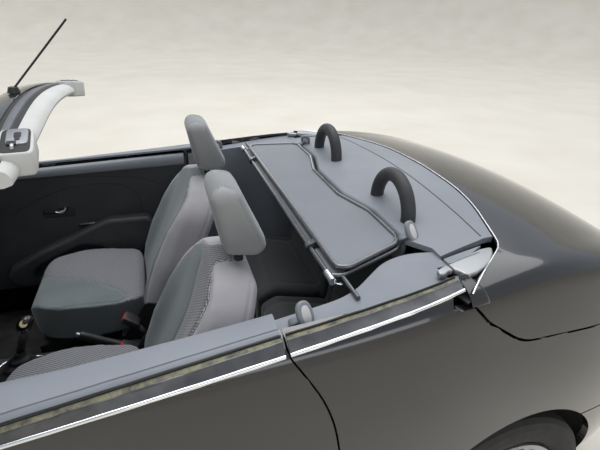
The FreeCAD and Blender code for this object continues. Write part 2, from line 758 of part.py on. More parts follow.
def bonnet_arm():
    x, y, z = BONNET_PIN_X, BONNET_PIN_Y, BONNET_PIN_Z
    arm = box(x, BONNET_R + 40, y - 11, y + 11, z - 8, z + 8).common(OUTER)
    return arm.fuse(rod((x, y - 11, z), (x, y + 11, z), 8))


def lid_arm():
    x, y, z = LID_PIN
    arm = prism([(x, z - 9), (x, z + 9), (x - 150, z + 18), (x - 260, z + 60), (x - 330, z + 60),
        (x - 330, z + 10), (x - 150, z - 8)],
                "xz", y - 8, y + 8)
    return arm.common(INNER).fuse(rod((x, y - 8, z), (x, y + 8, z), 9))


def bored(shape, pin):
    """A pair of arms with the bores for their pins."""
    x, y, z = pin
    return shape.cut(rod((x, -y - 30, z), (x, y + 30, z), PIN + PIN_GAP))


thin_edge = body_form(8).common(
    box(BONNET_R - 10, BONNET_R + 22, 30 - BONNET_PIN_Y, BONNET_PIN_Y - 30, 800, HIGH))
bonnet = biggest(panel(bonnet_region(0), [LAMP_HOLES, thin_edge]))
keep("bonnet", bored(bonnet.fuse([bonnet_arm(), mirrored(bonnet_arm())]),
    (BONNET_PIN_X, BONNET_PIN_Y, BONNET_PIN_Z)))
boot_lid = biggest(panel(lid_region(0), [TAIL_LAMP_HOLES]))
keep("boot_lid", bored(boot_lid.fuse([lid_arm(), mirrored(lid_arm())]), LID_PIN))
keep("wheel_arches", wheel_arches())
keep("body_floor", body_floor())

SUBFRAME_TOP = 235
LEG_Y = (300, 345)


def front_subframe():
    """Two legs, a cross member with the lower arms, the crash bar and the panels that carry the lamps."""
    pieces = [box(1150, 1250, -LEG_Y[0], LEG_Y[0], SILL, SUBFRAME_TOP)]
    for way in (1, -1):
        y0, y1 = sorted((way * LEG_Y[0], way * LEG_Y[1]))
        pieces.append(box(FIREWALL_X + 20 + REST, NOSE - 138, y0, y1, SILL, SUBFRAME_TOP))
        pieces.append(box(NOSE - 158, NOSE - 138, y0, y1, SILL, 460))
        low = kingpin_at(172)
        pieces.append(rod((low.x - 90, way * 320, 212), (low.x, way * (low.y - 18), 176), 15))
        pieces.append(rod((low.x + 30, way * 320, 212), (low.x, way * (low.y - 18), 176), 15))
        y2, y3 = sorted((way * LEG_Y[0], way * 600))
        plate = box(FRONT_AXLE + 378, FRONT_AXLE + 390, y2, y3, SILL + 40, 700)
        plate = plate.common(INSIDE).cut(Part.makeCompound([LAMP_SEATS, ARCH_ROOMS]))
        pieces.append(biggest(plate))
        pieces.append(box(FRONT_AXLE + 378, FRONT_AXLE + 390, y0, y1, SILL, SILL + 60))
    pieces.append(box(NOSE - 158, NOSE - 138, -560, 560, 380, 460).common(INSIDE))
    return pieces[0].fuse(pieces[1:]).cut(both_sides(rod(kingpin_at(120), kingpin_at(240), KINGPIN + REST)))


LAMP_SEATS = both_sides(headlamp_form(REST))
keep("front_subframe", front_subframe())

engine = doc.addObject("Part::Box", "engine_block")
for name, text in (("Length", "engine_depth"), ("Width", "engine_width"), ("Height", "engine_height")):
    engine.setExpression(name, "Sizes." + text)
engine.Placement = Placement(Vector(1040, -size("engine_width") / 2, SUBFRAME_TOP + REST), Rotation())
engine.Label = "engine_block"
NODES.append(engine)

tank = doc.addObject("Part::Box", "tank_block")
tank.Length, tank.Width, tank.Height = 340, 940, 175
tank.Placement = Placement(Vector(-1010, -470, REAR_FLOOR - REST - 175), Rotation())
doc.recompute()
fuel_tank = doc.addObject("Part::Fillet", "fuel_tank")
fuel_tank.Base = tank
fuel_tank.Edges = [(i + 1, 24, 24) for i,
    e in enumerate(tank.Shape.Edges) if e.CenterOfMass.z < REAR_FLOOR - 20]
fuel_tank.Label = "fuel_tank"
NODES.append(fuel_tank)


def exhaust():
    """The pipe under the floor, the silencer and the tailpipe."""
    z = SILL - 24
    run = rod((1020, -150, z), (-1080, -150, z), 20)
    rise = rod((-1080, -150, z), (-1440, -150, 300), 20)
    silencer = softened(box(-1640, -1420, -450, -60, 240, 360), 45,
        lambda e: abs(e.tangentAt(e.FirstParameter).y) > 0.9)
    tail_pipe = rod((-1620, TAILPIPE_Y, 290), (TAIL + 35, TAILPIPE_Y, 268), TAILPIPE)
    tail_pipe = tail_pipe.cut(rod((-1700, TAILPIPE_Y, 283), (TAIL, TAILPIPE_Y, 265), TAILPIPE - 3))
    hanger = box(-1560, -1540, -300, -280, 355, REAR_FLOOR - REST)
    ball = Part.makeSphere(20, Vector(-1080, -150, z))
    return silencer.fuse([run, rise, ball, tail_pipe, hanger])


def rear_axle():
    """A cross beam with two trailing arms, the springs and the stubs that carry the rear wheels."""
    pieces = [rod((REAR_AXLE + 110, -545, 300), (REAR_AXLE + 110, 545, 300), 32)]
    for way in (1, -1):
        arm = [(REAR_AXLE + 440, 285), (REAR_AXLE + 440, 330), (REAR_AXLE - 60, 320), (REAR_AXLE - 60, 270),
            (REAR_AXLE + 120, 262)]
        pieces.append(prism(arm, "xz", *sorted((way * 515, way * 560))))
        pieces.append(rod((REAR_AXLE, way * 540, AXLE_Z), (REAR_AXLE, way * (TRACK_R - 24), AXLE_Z), 58))
        pieces.append(rod((REAR_AXLE, way * 540, AXLE_Z), (REAR_AXLE, way * (TRACK_R + 50), AXLE_Z),
            size("hub_bore") - PIN_GAP))
        pieces.append(rod((REAR_AXLE + 30, way * 530, 300), (REAR_AXLE + 30, way * 530, REAR_FLOOR - REST),
            45))
        pieces.append(box(REAR_AXLE + 400, REAR_AXLE + 440, *sorted((way * 515, way * 560)), 300,
            REAR_FLOOR - REST))
    return pieces[0].fuse(pieces[1:])


keep("exhaust", exhaust())
keep("rear_axle", rear_axle())


# Wheels

def measured(text):
    return float(sheet.evalExpression(text))


def sketched(body, name, role, corners, offset=0):
    """A closed outline on one of the body's own planes. Each corner is a pair of expressions."""
    sketch = body.newObject("Sketcher::SketchObject", name)
    plane = next(f for f in body.Origin.OriginFeatures if f.Role == role)
    sketch.AttachmentSupport = (plane, [""])
    sketch.MapMode = "FlatFace"
    sketch.AttachmentOffset = Placement(Vector(0, 0, offset), Rotation())
    points = [Vector(measured(u), measured(v), 0) for u, v in corners]
    count = len(points)
    for i, point in enumerate(points):
        sketch.addGeometry(Part.LineSegment(point, points[(i + 1) % count]))
    for i in range(count):
        sketch.addConstraint(Sketcher.Constraint("Coincident", (i - 1) % count, 2, i, 1))
    for i, (u, v) in enumerate(corners):
        for kind, text in (("DistanceX", u), ("DistanceY", v)):
            number = sketch.addConstraint(Sketcher.Constraint(kind, -1, 1, i, 1, measured(text)))
            sketch.setExpression(f"Constraints[{number}]", text)
    return sketch


def turned(body, sketch):
    """The outline turned round the wheel's axle, which is the sketch's upright axis."""
    ring = body.newObject("PartDesign::Revolution", body.Name + "_turn")
    ring.Profile = sketch
    ring.ReferenceAxis = (sketch, ["V_Axis"])
    ring.Angle = 360
    return ring


# radius, then distance along the axle, outwards
RIM_PROFILE = [
    ("Sizes.hub_bore", "-22"), ("Sizes.hub_bore", "58"), ("58", "58"), ("74", "46"),
    ("Sizes.rim_radius - 40", "58"), ("Sizes.rim_radius - 22", "78"), ("Sizes.rim_radius", "84"),
    ("Sizes.rim_radius", "76"), ("Sizes.rim_radius - 14", "72"), ("Sizes.rim_radius - 18", "66"),
    ("Sizes.rim_radius - 18", "-66"), ("Sizes.rim_radius - 14", "-72"), ("Sizes.rim_radius", "-76"),
    ("Sizes.rim_radius", "-82"), ("Sizes.rim_radius - 20", "-78"), ("Sizes.rim_radius - 26", "-66"),
    ("Sizes.rim_radius - 26", "44"), ("Sizes.rim_radius - 46", "42"), ("74", "30"), ("60", "22"),
    ("60", "-8"), ("Sizes.disc_radius", "-8"), ("Sizes.disc_radius", "-22"),
]
RIM_WINDOW = [
    ("(Sizes.rim_radius - 112) * cos(11)", "(Sizes.rim_radius - 112) * sin(11)"),
    ("(Sizes.rim_radius - 36) * cos(18.5)", "(Sizes.rim_radius - 36) * sin(18.5)"),
    ("Sizes.rim_radius - 31", "0"),
    ("(Sizes.rim_radius - 36) * cos(18.5)", "-(Sizes.rim_radius - 36) * sin(18.5)"),
    ("(Sizes.rim_radius - 112) * cos(11)", "-(Sizes.rim_radius - 112) * sin(11)"),
]
WINDOW_FROM = 15
TYRE_HALF = [
    ("Sizes.rim_radius - 18 + Sizes.rest_gap", "64"), ("Sizes.rim_radius - 8",
        "70"), ("Sizes.rim_radius + 4", "76"),
    ("Sizes.rim_radius + 22", "Sizes.tyre_width / 2 - 3"), ("Sizes.rim_radius + 42",
        "Sizes.tyre_width / 2"),
    ("Sizes.tyre_radius - 32", "Sizes.tyre_width / 2 - 2"), ("Sizes.tyre_radius - 13",
        "Sizes.tyre_width / 2 - 9"),
    ("Sizes.tyre_radius - 3", "Sizes.tyre_width / 2 - 22"), ("Sizes.tyre_radius",
        "Sizes.tyre_width / 2 - 40"),
]
TYRE_PROFILE = TYRE_HALF + [(u, "-(" + v + ")") for u, v in reversed(TYRE_HALF)]


def wheel(name, x, y):
    """A tyre and its rim with the brake disc. The rim's outer face looks away from the car."""
    place = Placement(Vector(x, y, AXLE_Z), Rotation(Vector(0, 0, 1), 0 if y > 0 else 180))
    tyre = doc.addObject("PartDesign::Body", "tyre_" + name)
    turned(tyre, sketched(tyre, "tyre_profile_" + name, "XY_Plane", TYRE_PROFILE))
    rim = doc.addObject("PartDesign::Body", "rim_" + name)
    profile = sketched(rim, "rim_profile_" + name, "XY_Plane", RIM_PROFILE)
    turned(rim, profile)
    doc.recompute()
    pocket = rim.newObject("PartDesign::Pocket", "window_" + name)
    pocket.Profile = sketched(rim, "window_outline_" + name, "XZ_Plane", RIM_WINDOW, -WINDOW_FROM)
    pocket.Type = "ThroughAll"
    doc.recompute()
    windows = rim.newObject("PartDesign::PolarPattern", "windows_" + name)
    windows.Originals = [pocket]
    windows.Axis = (profile, ["V_Axis"])
    windows.Angle = 360
    windows.setExpression("Occurrences", "Sizes.spoke_count")
    rim.Tip = windows
    for body in (tyre, rim):
        body.Label = body.Name
        body.Placement = place
        NODES.append(body)


for end, axle, track in (("front", FRONT_AXLE, TRACK_F), ("rear", REAR_AXLE, TRACK_R)):
    for name, way in SIDES:
        wheel(f"{end}_{name}", axle, way * track)


def knuckle():
    """The left upright with the front wheel's stub and its strut, which turn about the kingpin's axis."""
    foot, mid, top = kingpin_at(170), kingpin_at(AXLE_Z), kingpin_at(400)
    upright = rod(foot, top, KINGPIN)
    hub = rod((FRONT_AXLE, mid.y - 10, AXLE_Z), (FRONT_AXLE, TRACK_F - 24, AXLE_Z), 55)
    stub = rod((FRONT_AXLE, mid.y, AXLE_Z), (FRONT_AXLE, TRACK_F + 50, AXLE_Z), size("hub_bore") - PIN_GAP)
    caliper = prism([(FRONT_AXLE + 60, 230), (FRONT_AXLE + 60, 360), (FRONT_AXLE + 112, 350),
        (FRONT_AXLE + 112, 240)],
                    "xz", TRACK_F - 62, TRACK_F - 30)
    bridge = box(FRONT_AXLE, FRONT_AXLE + 70, TRACK_F - 62, TRACK_F - 40, 280, 310)
    strut = rod(kingpin_at(390), kingpin_at(800), 25)
    return upright.fuse([hub, stub, caliper, bridge, strut])


for name, way in SIDES:
    keep(f"knuckle_{name}", knuckle() if way > 0 else mirrored(knuckle()))


# Cabin

DASH_HALF = 655
WHEEL_Y = size("seat_spacing") / 2
WHEEL_CENTRE = Vector(400, WHEEL_Y, 790)
COLUMN = Vector(math.cos(math.radians(size("column_angle"))), 0,
    -math.sin(math.radians(size("column_angle"))))


def dashboard():
    top = softened(
        prism([
            (FIREWALL_X - REST, 900), (560, 905, 60), (470, 862, 50), (480, 740, 60), (560, 560, 60),
            (760, 500, 60), (FIREWALL_X - REST, 640),
        ], "xz", -DASH_HALF, DASH_HALF),
        18,
        lambda e: abs(abs(e.CenterOfMass.y) - DASH_HALF) < 1 and e.CenterOfMass.x < 900,
    )
    hood = softened(prism([
        (525, 850, 30), (518, 936, 30), (650, 946, 60), (720, 880), (600, 850),
    ], "xz", WHEEL_Y - 190, WHEEL_Y + 190), 20)
    shroud = rod(WHEEL_CENTRE + COLUMN * 55, WHEEL_CENTRE + COLUMN * 230, 45)
    bore = rod(WHEEL_CENTRE, WHEEL_CENTRE + COLUMN * 220, 12 + PIN_GAP)
    return top.fuse([hood, shroud]).cut(bore)


def steering_wheel():
    rim = Part.makeTorus(size("steering_radius"), 16, WHEEL_CENTRE, COLUMN)
    hub = softened(Part.makeCylinder(62, 36, WHEEL_CENTRE - COLUMN * 18, COLUMN), 10)
    shaft = rod(WHEEL_CENTRE, WHEEL_CENTRE + COLUMN * 210, 12)
    across = Vector(0, 1, 0)
    up = COLUMN.cross(across)
    reach = size("steering_radius") - 4
    spokes = [rod(WHEEL_CENTRE, WHEEL_CENTRE + (across * math.cos(a) + up * math.sin(a)) * reach, 11)
              for a in (math.radians(8), math.radians(172), math.radians(250), math.radians(290))]
    return rim.fuse([hub, shaft] + spokes)


CONSOLE_TOP = 410


def centre_console():
    """The tunnel between the seats with its cup wells and the place of the gear lever."""
    body = prism([
        (560, FLOOR_TOP + REST), (560, 520, 50), (430, 470, 80), (330, CONSOLE_TOP, 90),
        (-190, CONSOLE_TOP - 8, 40), (-230, FLOOR_TOP + REST),
    ], "xz", -92, 92)
    body = softened(body, 16, lambda e: abs(abs(e.CenterOfMass.y) - 92) < 1 and e.CenterOfMass.z > 300)
    wells = [rod((390, y, 380), (390, y, 620), 36) for y in (-42, 42)]
    return body.cut(Part.makeCompound(wells))


def gear_lever():
    boot = Part.makeCone(62, 16, 90, Vector(227, 0, CONSOLE_TOP + REST))
    stick = rod((223, 0, CONSOLE_TOP + 60), (180, 0, 590), 7)
    knob = Part.makeSphere(25, Vector(174, 0, 606))
    return boot.fuse([stick, knob])


def handbrake():
    arm = rod((-130, -20, CONSOLE_TOP + 12), (10, -20, 505), 13)
    foot = box(-160, -100, -34, -6, CONSOLE_TOP - 6.6 + REST, CONSOLE_TOP + 20)
    return arm.fuse([foot, Part.makeSphere(13, Vector(10, -20, 505))])


SEAT_Y = size("seat_spacing") / 2
SEAT_HALF = size("seat_width") / 2
SEAT_TOP = size("cushion_height")
BACK_FOOT = (-205, 505)
LEAN = math.radians(size("backrest_lean"))


def up_the_back(along, behind):
    """A place in the backrest's own directions, in side view."""
    return (BACK_FOOT[0] - along * math.sin(LEAN) - behind * math.cos(LEAN),
            BACK_FOOT[1] + along * math.cos(LEAN) - behind * math.sin(LEAN))


def seat_base():
    """Rails, a pan under the cushion and the cheeks that carry the backrest."""
    y = SEAT_Y
    low = FLOOR_TOP + REST
    wide, narrow = SEAT_HALF + 8, SEAT_HALF - 40
    half = [(-200, wide), (-110, wide), (-110, narrow), (120, narrow), (190, narrow - 60)]
    outline = [(x, y + w) for x, w in half] + [(x, y - w) for x, w in reversed(half)]
    pan = prism(outline, "xy", 385, 420 - REST)
    rails = [box(-220, 200, y + a - 15, y + a + 15, low, 385) for a in (-180, 180)]
    cheeks = []
    for a in (-SEAT_HALF - 8, SEAT_HALF + REST):
        cheeks.append(prism([(-200, 385), (-110, 385), (-130, 430, 20), (-215, 560, 20), (-275, 540, 20),
            (-255, 440, 20)],
                            "xz", y + a, y + a + 8 - REST))
    return pan.fuse(rails + cheeks)


def in_front_view(corners, low, high):
    """A prism along x about a front seat's middle, from the corners of its left half, bottom first."""
    half = [(SEAT_Y + c[0], *c[1:]) for c in corners]
    other = [(SEAT_Y - c[0], *c[1:]) for c in reversed(corners)]
    return prism(half + other, "yz", low, high)


def seat_cushion():
    """The pad of a front seat, rounded off towards the knees and drawn in towards the backrest."""
    half = [(BACK_FOOT[0] + 1, SEAT_HALF - 45, 60), (20, SEAT_HALF, 400), (228, SEAT_HALF - 75, 150)]
    left = [(x, SEAT_Y + y, r) for x, y, r in half]
    right = [(x, SEAT_Y - y, r) for x, y, r in reversed(half)]
    plan = prism(left + right, "xy", 400, 700)
    side = prism([
        (BACK_FOOT[0] + 1, 420), (BACK_FOOT[0] + 1, SEAT_TOP - 22, 30), (40, SEAT_TOP - 8, 500),
        (190, SEAT_TOP - 14, 60), (228, 505, 40), (190, 420, 30),
    ], "xz", SEAT_Y - SEAT_HALF, SEAT_Y + SEAT_HALF)
    return softened(side.common(plan), 38, lambda e: e.CenterOfMass.z > 440)


def seat_back():
    """The backrest, narrower towards its rounded shoulders."""
    shoulder = size("shoulder_width") / 2
    top = up_the_back(566, 50)[1]
    side = prism([
        (*up_the_back(0, 0), 30), (*up_the_back(540, 0), 40), (*up_the_back(566, 50), 50),
        (*up_the_back(560, 128), 40), (*up_the_back(-20, 130), 40), (*up_the_back(-45, 60), 30),
    ], "xz", SEAT_Y - SEAT_HALF, SEAT_Y + SEAT_HALF)
    front = in_front_view([
        (SEAT_HALF, 400), (SEAT_HALF, top - 300, 300), (shoulder, top - 95, 150),
        (shoulder - 100, top - 5, 150),
    ], -650, 0)
    return softened(side.common(front), 32)


POST = 7


def headrest(back):
    half, top = size("headrest_width") / 2, size("headrest_top")
    side = prism([
        (-464, 1030, 30), (-432, top - 20, 30), (-464, top, 25), (-510, top - 14, 30),
        (-548, 1115, 160), (-582, 1042, 30), (-548, 1018, 25),
    ], "xz", SEAT_Y - half, SEAT_Y + half)
    front = in_front_view([(half - 20, 1000), (half, 1120, 300), (half - 14, top, 45)], -700, -400)
    pad = softened(side.common(front), 20)
    x = up_the_back(560, 78)[0]
    posts = []
    for y in (SEAT_Y - 45, SEAT_Y + 45):
        seat_top = max(top_of(back, x + dx, y) for dx in (-POST, 0, POST))
        posts.append(rod((x, y, seat_top + REST), (x, y, 1060), POST))
    return pad.fuse(posts)


def rear_seat():
    """Two rear places, each a cushion and a back."""
    low = REAR_FLOOR + SKIN + REST
    pieces = []
    for way in (1, -1):
        y0, y1 = sorted((way * 15, way * 540))
        cushion = prism([(-645, low), (-645, 560, 25), (-705, 592, 40), (-912, 545, 20), (-912, low)], "xz",
            y0, y1)
        back = prism([(-914, low), (-922, 560, 60), (-985, 948, 20), (BULKHEAD_X + REST, 952, 15),
            (BULKHEAD_X + REST, low)], "xz", y0, y1)
        pieces.append(softened(cushion, 25, lambda e: e.CenterOfMass.z > 480 and e.CenterOfMass.x > -890))
        pieces.append(softened(back, 15,
            lambda e: e.CenterOfMass.z > 600 and e.CenterOfMass.x > BULKHEAD_X + 30))
    return Part.makeCompound(pieces)


FLAT_Z = 1007
FLAP_RISE = 2 * size("deflector_tube") + 3
TILT = 5
DEF_X = size("deflector_front")
DEF_Y = size("deflector_width") / 2


def tilted(shape):
    """Leant with the whole wind deflector about its front tube."""
    return shape.rotate(Vector(DEF_X, 0, FLAT_Z), Vector(0, 1, 0), TILT)


def side_pin(way, radius):
    """A pin that carries the wind deflector on the lining beside the rear seat."""
    return rod((DEF_X - 30, way * (DEF_Y - 16), FLAT_Z), (DEF_X - 30, way * 672, FLAT_Z), radius)


FRAME_REAR = -945


def frame_outline(shrink, front):
    """The deflector's frame seen from above: straight in front, hollowed behind at the middle."""
    y, rear = DEF_Y - shrink, FRAME_REAR + shrink
    half = [(front, y, 30), (rear, 500 - shrink, 55), (rear, 290, 90), (rear + 40, 130, 90)]
    return half + [(c[0], -c[1], *c[2:]) for c in reversed(half)]


TRIM_TOP = ((-455, 968), (-1000, 1036))


def quarter_trim():
    """The lining beside the left rear seat: a top and an inner wall."""
    x0, x1 = TRIM_TOP[0][0], TRIM_TOP[1][0]

    def lining(wall):
        plan = prism([(x0 - wall, 718 + wall), (x1, 718 + wall), (x1, 560 + wall), (-894, 524 + wall, 150),
            (-728, 648 + wall, 200), (x0 - wall, 668 + wall)],
                     "xy", 0, HIGH)
        side = prism([
            (x0 - wall, 300), (x0 - wall, TRIM_TOP[0][1] - wall), (x1, TRIM_TOP[1][1] - wall),
            (x1, REAR_FLOOR + SKIN + REST), (REAR_STEP + REST, REAR_FLOOR + SKIN + REST),
            (REAR_STEP + REST, 300),
        ], "xz", 0, REACH)
        return plan.common(side)

    arch = rod((REAR_AXLE, 0, AXLE_Z), (REAR_AXLE, REACH, AXLE_Z), LINER + LINER_WALL + REST)
    slot = box(LID_PIN[0] - 40, LID_PIN[0] + 18, LID_PIN[1] - 24, LID_PIN[1] + 24, LID_PIN[2] - 20, HIGH)
    return biggest(lining(0).cut(lining(14)).cut(arch).cut(slot).cut(ARCH_ROOMS).common(OUTER))


DECK_FRONT = -957
LIP_WALL = 12
DECK_SLOT = (LID_PIN[0] + 18, LID_F + 130, LID_PIN[1] - 13, LID_PIN[1] + 13)


def on_front_edge(edge):
    """Whether an edge of the deck lies on top of its front lip."""
    middle = edge.CenterOfMass
    return middle.z > 1025 and middle.x > DECK_FRONT - 1 and abs(middle.y) < 480


def rear_deck():
    """The panel from rear seats to boot lid, with slots for the lid's arms and holes for the hoops.

    Its front edge follows the wind deflector's frame and is turned down to the rear seats' backs.
    """
    x2 = TRIM_TOP[1][0] - REST
    edge = list(reversed(frame_outline(DECK_FRONT - FRAME_REAR, DECK_FRONT)[2:-2]))
    plan = prism([
        (DECK_FRONT, -490), *edge, (DECK_FRONT, 490), (x2, 556), (x2, LOW_SIDE_Y - 1),
        (-1420, LOW_SIDE_Y - 1), (-1420, 1 - LOW_SIDE_Y), (x2, 1 - LOW_SIDE_Y), (x2, -556),
    ], "xy", 900, HIGH)
    under_paint = body_form(2)
    layer = under_paint.cut(INNER).common(plan)
    lip = prism([(DECK_FRONT, -478), *edge, (DECK_FRONT, 478), (-985, 478), (-985, -478)], "xy", 958, HIGH)
    behind = lip.copy()
    behind.translate(Vector(-LIP_WALL, 0, 0))
    lip = lip.cut(behind).common(under_paint)
    deck = softened(layer.fuse(lip).removeSplitter(), 14, on_front_edge)
    deck = deck.cut(lid_region(-GAP))
    x0, x1, y0, y1 = DECK_SLOT
    slots = both_sides(box(min(x0, x1), max(x0, x1), y0, y1, 900, HIGH))
    return biggest(deck.cut(slots).cut(both_sides(hoop(size("hoop_tube") + REST))))


def hoop(radius):
    y, x = size("hoop_spacing") / 2, size("hoop_x")
    half = size("hoop_width") / 2
    low = 960
    turn = size("deck_height") + size("hoop_height") - size("hoop_tube") - half
    path = Part.Wire([
        line((x, y - half, low), (x, y - half, turn)),
        arc((x, y - half, turn), (x, y, turn + half), (x, y + half, turn)),
        line((x, y + half, turn), (x, y + half, low)),
    ])
    circle = Part.Wire(Part.makeCircle(radius, Vector(x, y - half, low), Vector(0, 0, 1)))
    return path.makePipeShell([circle], True, True)


# Wind deflector

def tube_frame(shrink, front, z):
    radius = size("deflector_tube")
    path = rounded_outline(frame_outline(shrink, front))
    path.translate(Vector(0, 0, z))
    first = path.OrderedEdges[0]
    start = first.valueAt(first.FirstParameter)
    circle = Part.Wire(Part.makeCircle(radius, start, first.tangentAt(first.FirstParameter)))
    tube = path.makePipeShell([circle], True, True)
    mesh_plate = prism(frame_outline(shrink, front), "xy", z - 0.8, z + 0.8)
    return tube, mesh_plate


def deflector_base():
    tube, plate = tube_frame(0, DEF_X, FLAT_Z)
    pins = []
    for way in (1, -1):
        pins.append(side_pin(way, size("deflector_pin")))
        reach = (DECK_FRONT + 2 * REST - DEF_X) / math.cos(math.radians(TILT))
        pins.append(rod((-945, way * 430, FLAT_Z), (DEF_X + reach, way * 430, FLAT_Z), 5))
    bearings = both_sides(rod((DEF_X, 380, FLAT_Z), (DEF_X, 420, FLAT_Z), 30))
    return tilted(tube.fuse([plate.cut(bearings)] + pins))


def deflector_flap():
    tube, plate = tube_frame(4, DEF_X - 22, FLAT_Z + FLAP_RISE)
    straps = []
    radius = size("deflector_tube")
    for way in (1, -1):
        y0, y1 = sorted((way * 390, way * 410))
        ring = rod((DEF_X, y0, FLAT_Z), (DEF_X, y1, FLAT_Z), radius + 6)
        arm = prism([(DEF_X - 2, FLAT_Z + 9), (DEF_X - 2, FLAT_Z + 12.5),
            (DEF_X - 22, FLAT_Z + FLAP_RISE + 3), (DEF_X - 22, FLAT_Z + FLAP_RISE - 4)], "xz", y0, y1)
        bore = rod((DEF_X, y0 - 5, FLAT_Z), (DEF_X, y1 + 5, FLAT_Z), radius + PIN_GAP)
        straps.append(ring.fuse(arm).cut(bore))
    return tilted(tube.fuse([plate] + straps))


def antenna():
    z = max(top_of(roof, x, 0) for x in (40 - 17, 40, 40 + 17))
    base = softened(Part.makeCone(17, 12, 16, Vector(40, 0, z + REST)), 3,
        lambda e: e.CenterOfMass.z > z + 10)
    return base.fuse(rod((38, 0, z + 12), (-125, 0, 1569), 2.8))


keep("dashboard", dashboard())
keep("steering_wheel", steering_wheel())
keep("centre_console", centre_console())
keep("gear_lever", gear_lever())
keep("handbrake", handbrake())
keep("seat_bases", both_sides(seat_base()))
keep("seat_cushions", both_sides(seat_cushion()))
left_back = seat_back()
keep("seat_backs", both_sides(left_back))
keep("headrests", both_sides(headrest(left_back)))
keep("rear_seat", rear_seat())
keep("quarter_trims", both_sides(quarter_trim()))
keep("rear_deck", rear_deck())
keep("roll_hoops", both_sides(hoop(size("hoop_tube"))))
keep("deflector_base", deflector_base())
keep("deflector_flap", deflector_flap())
keep("antenna", antenna())


doc.recompute()
os.makedirs("parts", exist_ok=True)
for node in NODES:
    if "Invalid" in node.State or "Error" in node.State or not node.Shape.isValid():
        raise RuntimeError(node.Label + " failed: " + str(node.State))
    node.Shape.exportStep(f"parts/{node.Label}.step")
print("built", len(NODES), "nodes")
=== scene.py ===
import json
import math

import bmesh
import bpy
import numpy as np
from mathutils import Matrix, Vector
from mathutils.bvhtree import BVHTree


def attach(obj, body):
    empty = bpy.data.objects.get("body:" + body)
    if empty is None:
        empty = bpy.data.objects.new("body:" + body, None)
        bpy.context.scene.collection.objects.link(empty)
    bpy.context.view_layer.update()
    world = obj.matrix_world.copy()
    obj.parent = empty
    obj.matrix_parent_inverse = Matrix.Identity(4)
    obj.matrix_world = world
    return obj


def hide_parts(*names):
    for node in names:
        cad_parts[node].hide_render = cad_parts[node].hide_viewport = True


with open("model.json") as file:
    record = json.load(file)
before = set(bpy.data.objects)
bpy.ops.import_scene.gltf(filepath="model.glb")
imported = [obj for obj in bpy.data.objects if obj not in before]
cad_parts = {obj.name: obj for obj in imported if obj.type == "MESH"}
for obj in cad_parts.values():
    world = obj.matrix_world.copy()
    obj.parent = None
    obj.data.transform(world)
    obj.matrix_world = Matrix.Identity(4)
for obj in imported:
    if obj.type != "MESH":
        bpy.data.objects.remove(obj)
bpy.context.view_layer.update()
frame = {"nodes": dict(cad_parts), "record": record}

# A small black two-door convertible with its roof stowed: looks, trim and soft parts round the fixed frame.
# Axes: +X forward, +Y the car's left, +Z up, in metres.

NODES = frame["nodes"]
SIDES = ((1, "left"), (-1, "right"))


# Camera at the photograph's viewing angle

CAMERA_PLACE = (-0.33, 1.4603, 1.62)
YAW_PITCH_ROLL = (18.0767, 25.9055, 1.9617)
FOCAL_PIXELS, PICTURE_PIXELS, SENSOR = 451, 600, 36


def make_camera():
    yaw, pitch, roll = (math.radians(a) for a in YAW_PITCH_ROLL)
    level = Vector((-math.sin(yaw), -math.cos(yaw), 0))
    forward = level * math.cos(pitch) - Vector((0, 0, 1)) * math.sin(pitch)
    up = Vector((0, 0, 1)) * math.cos(pitch) + level * math.sin(pitch)
    right = forward.cross(up)
    x_axis = right * math.cos(roll) + up * math.sin(roll)
    y_axis = up * math.cos(roll) - right * math.sin(roll)
    data = bpy.data.cameras.new("camera")
    data.sensor_width = SENSOR
    data.lens = FOCAL_PIXELS / PICTURE_PIXELS * SENSOR
    data.clip_start, data.clip_end = 0.05, 200
    camera = bpy.data.objects.new("camera", data)
    turn = Matrix((x_axis, y_axis, -forward)).transposed().to_4x4()
    camera.matrix_world = Matrix.Translation(CAMERA_PLACE) @ turn
    bpy.context.scene.collection.objects.link(camera)
    bpy.context.scene.camera = camera


make_camera()


# Materials

def new_material(name, colour, rough, metal=0.0, **sockets):
    """A material with its shader. Extra sockets are given by name with _ for a space."""
    made = bpy.data.materials.new(name)
    made.use_nodes = True
    shader = made.node_tree.nodes["Principled BSDF"]
    shader.inputs["Base Color"].default_value = (*colour, 1)
    shader.inputs["Roughness"].default_value = rough
    shader.inputs["Metallic"].default_value = metal
    for key, value in sockets.items():
        shader.inputs[key.replace("_", " ")].default_value = value
    return made


def add(material, kind, **values):
    """A shader node with its sockets' or its own values set by name."""
    node = material.node_tree.nodes.new(kind)
    for key, value in values.items():
        if key in node.inputs:
            node.inputs[key].default_value = value
        else:
            setattr(node, key, value)
    return node


def link(material, a, b):
    material.node_tree.links.new(a, b)


def shader_of(material):
    return material.node_tree.nodes["Principled BSDF"]


def place_coords(material):
    """Coordinates fixed to the piece, in metres."""
    return add(material, "ShaderNodeTexCoord").outputs["Object"]


def noise(material, scale, detail, rough=0.5):
    node = add(material, "ShaderNodeTexNoise", Scale=scale, Detail=detail, Roughness=rough)
    link(material, place_coords(material), node.inputs["Vector"])
    return node.outputs["Fac"]


def cells(material, scale):
    """Distances to the middles of small cells, for grain and nets."""
    node = add(material, "ShaderNodeTexVoronoi", Scale=scale, feature="F1")
    link(material, place_coords(material), node.inputs["Vector"])
    return node.outputs["Distance"]


def ramp(material, fac, stops):
    """A colour that changes with fac, through stops of (place, colour)."""
    node = add(material, "ShaderNodeValToRGB")
    band = node.color_ramp
    while len(band.elements) < len(stops):
        band.elements.new(0.5)
    for element, (at, colour) in zip(band.elements, stops):
        element.position = at
        element.color = (*colour, 1)
    link(material, fac, node.inputs["Fac"])
    return node.outputs["Color"]


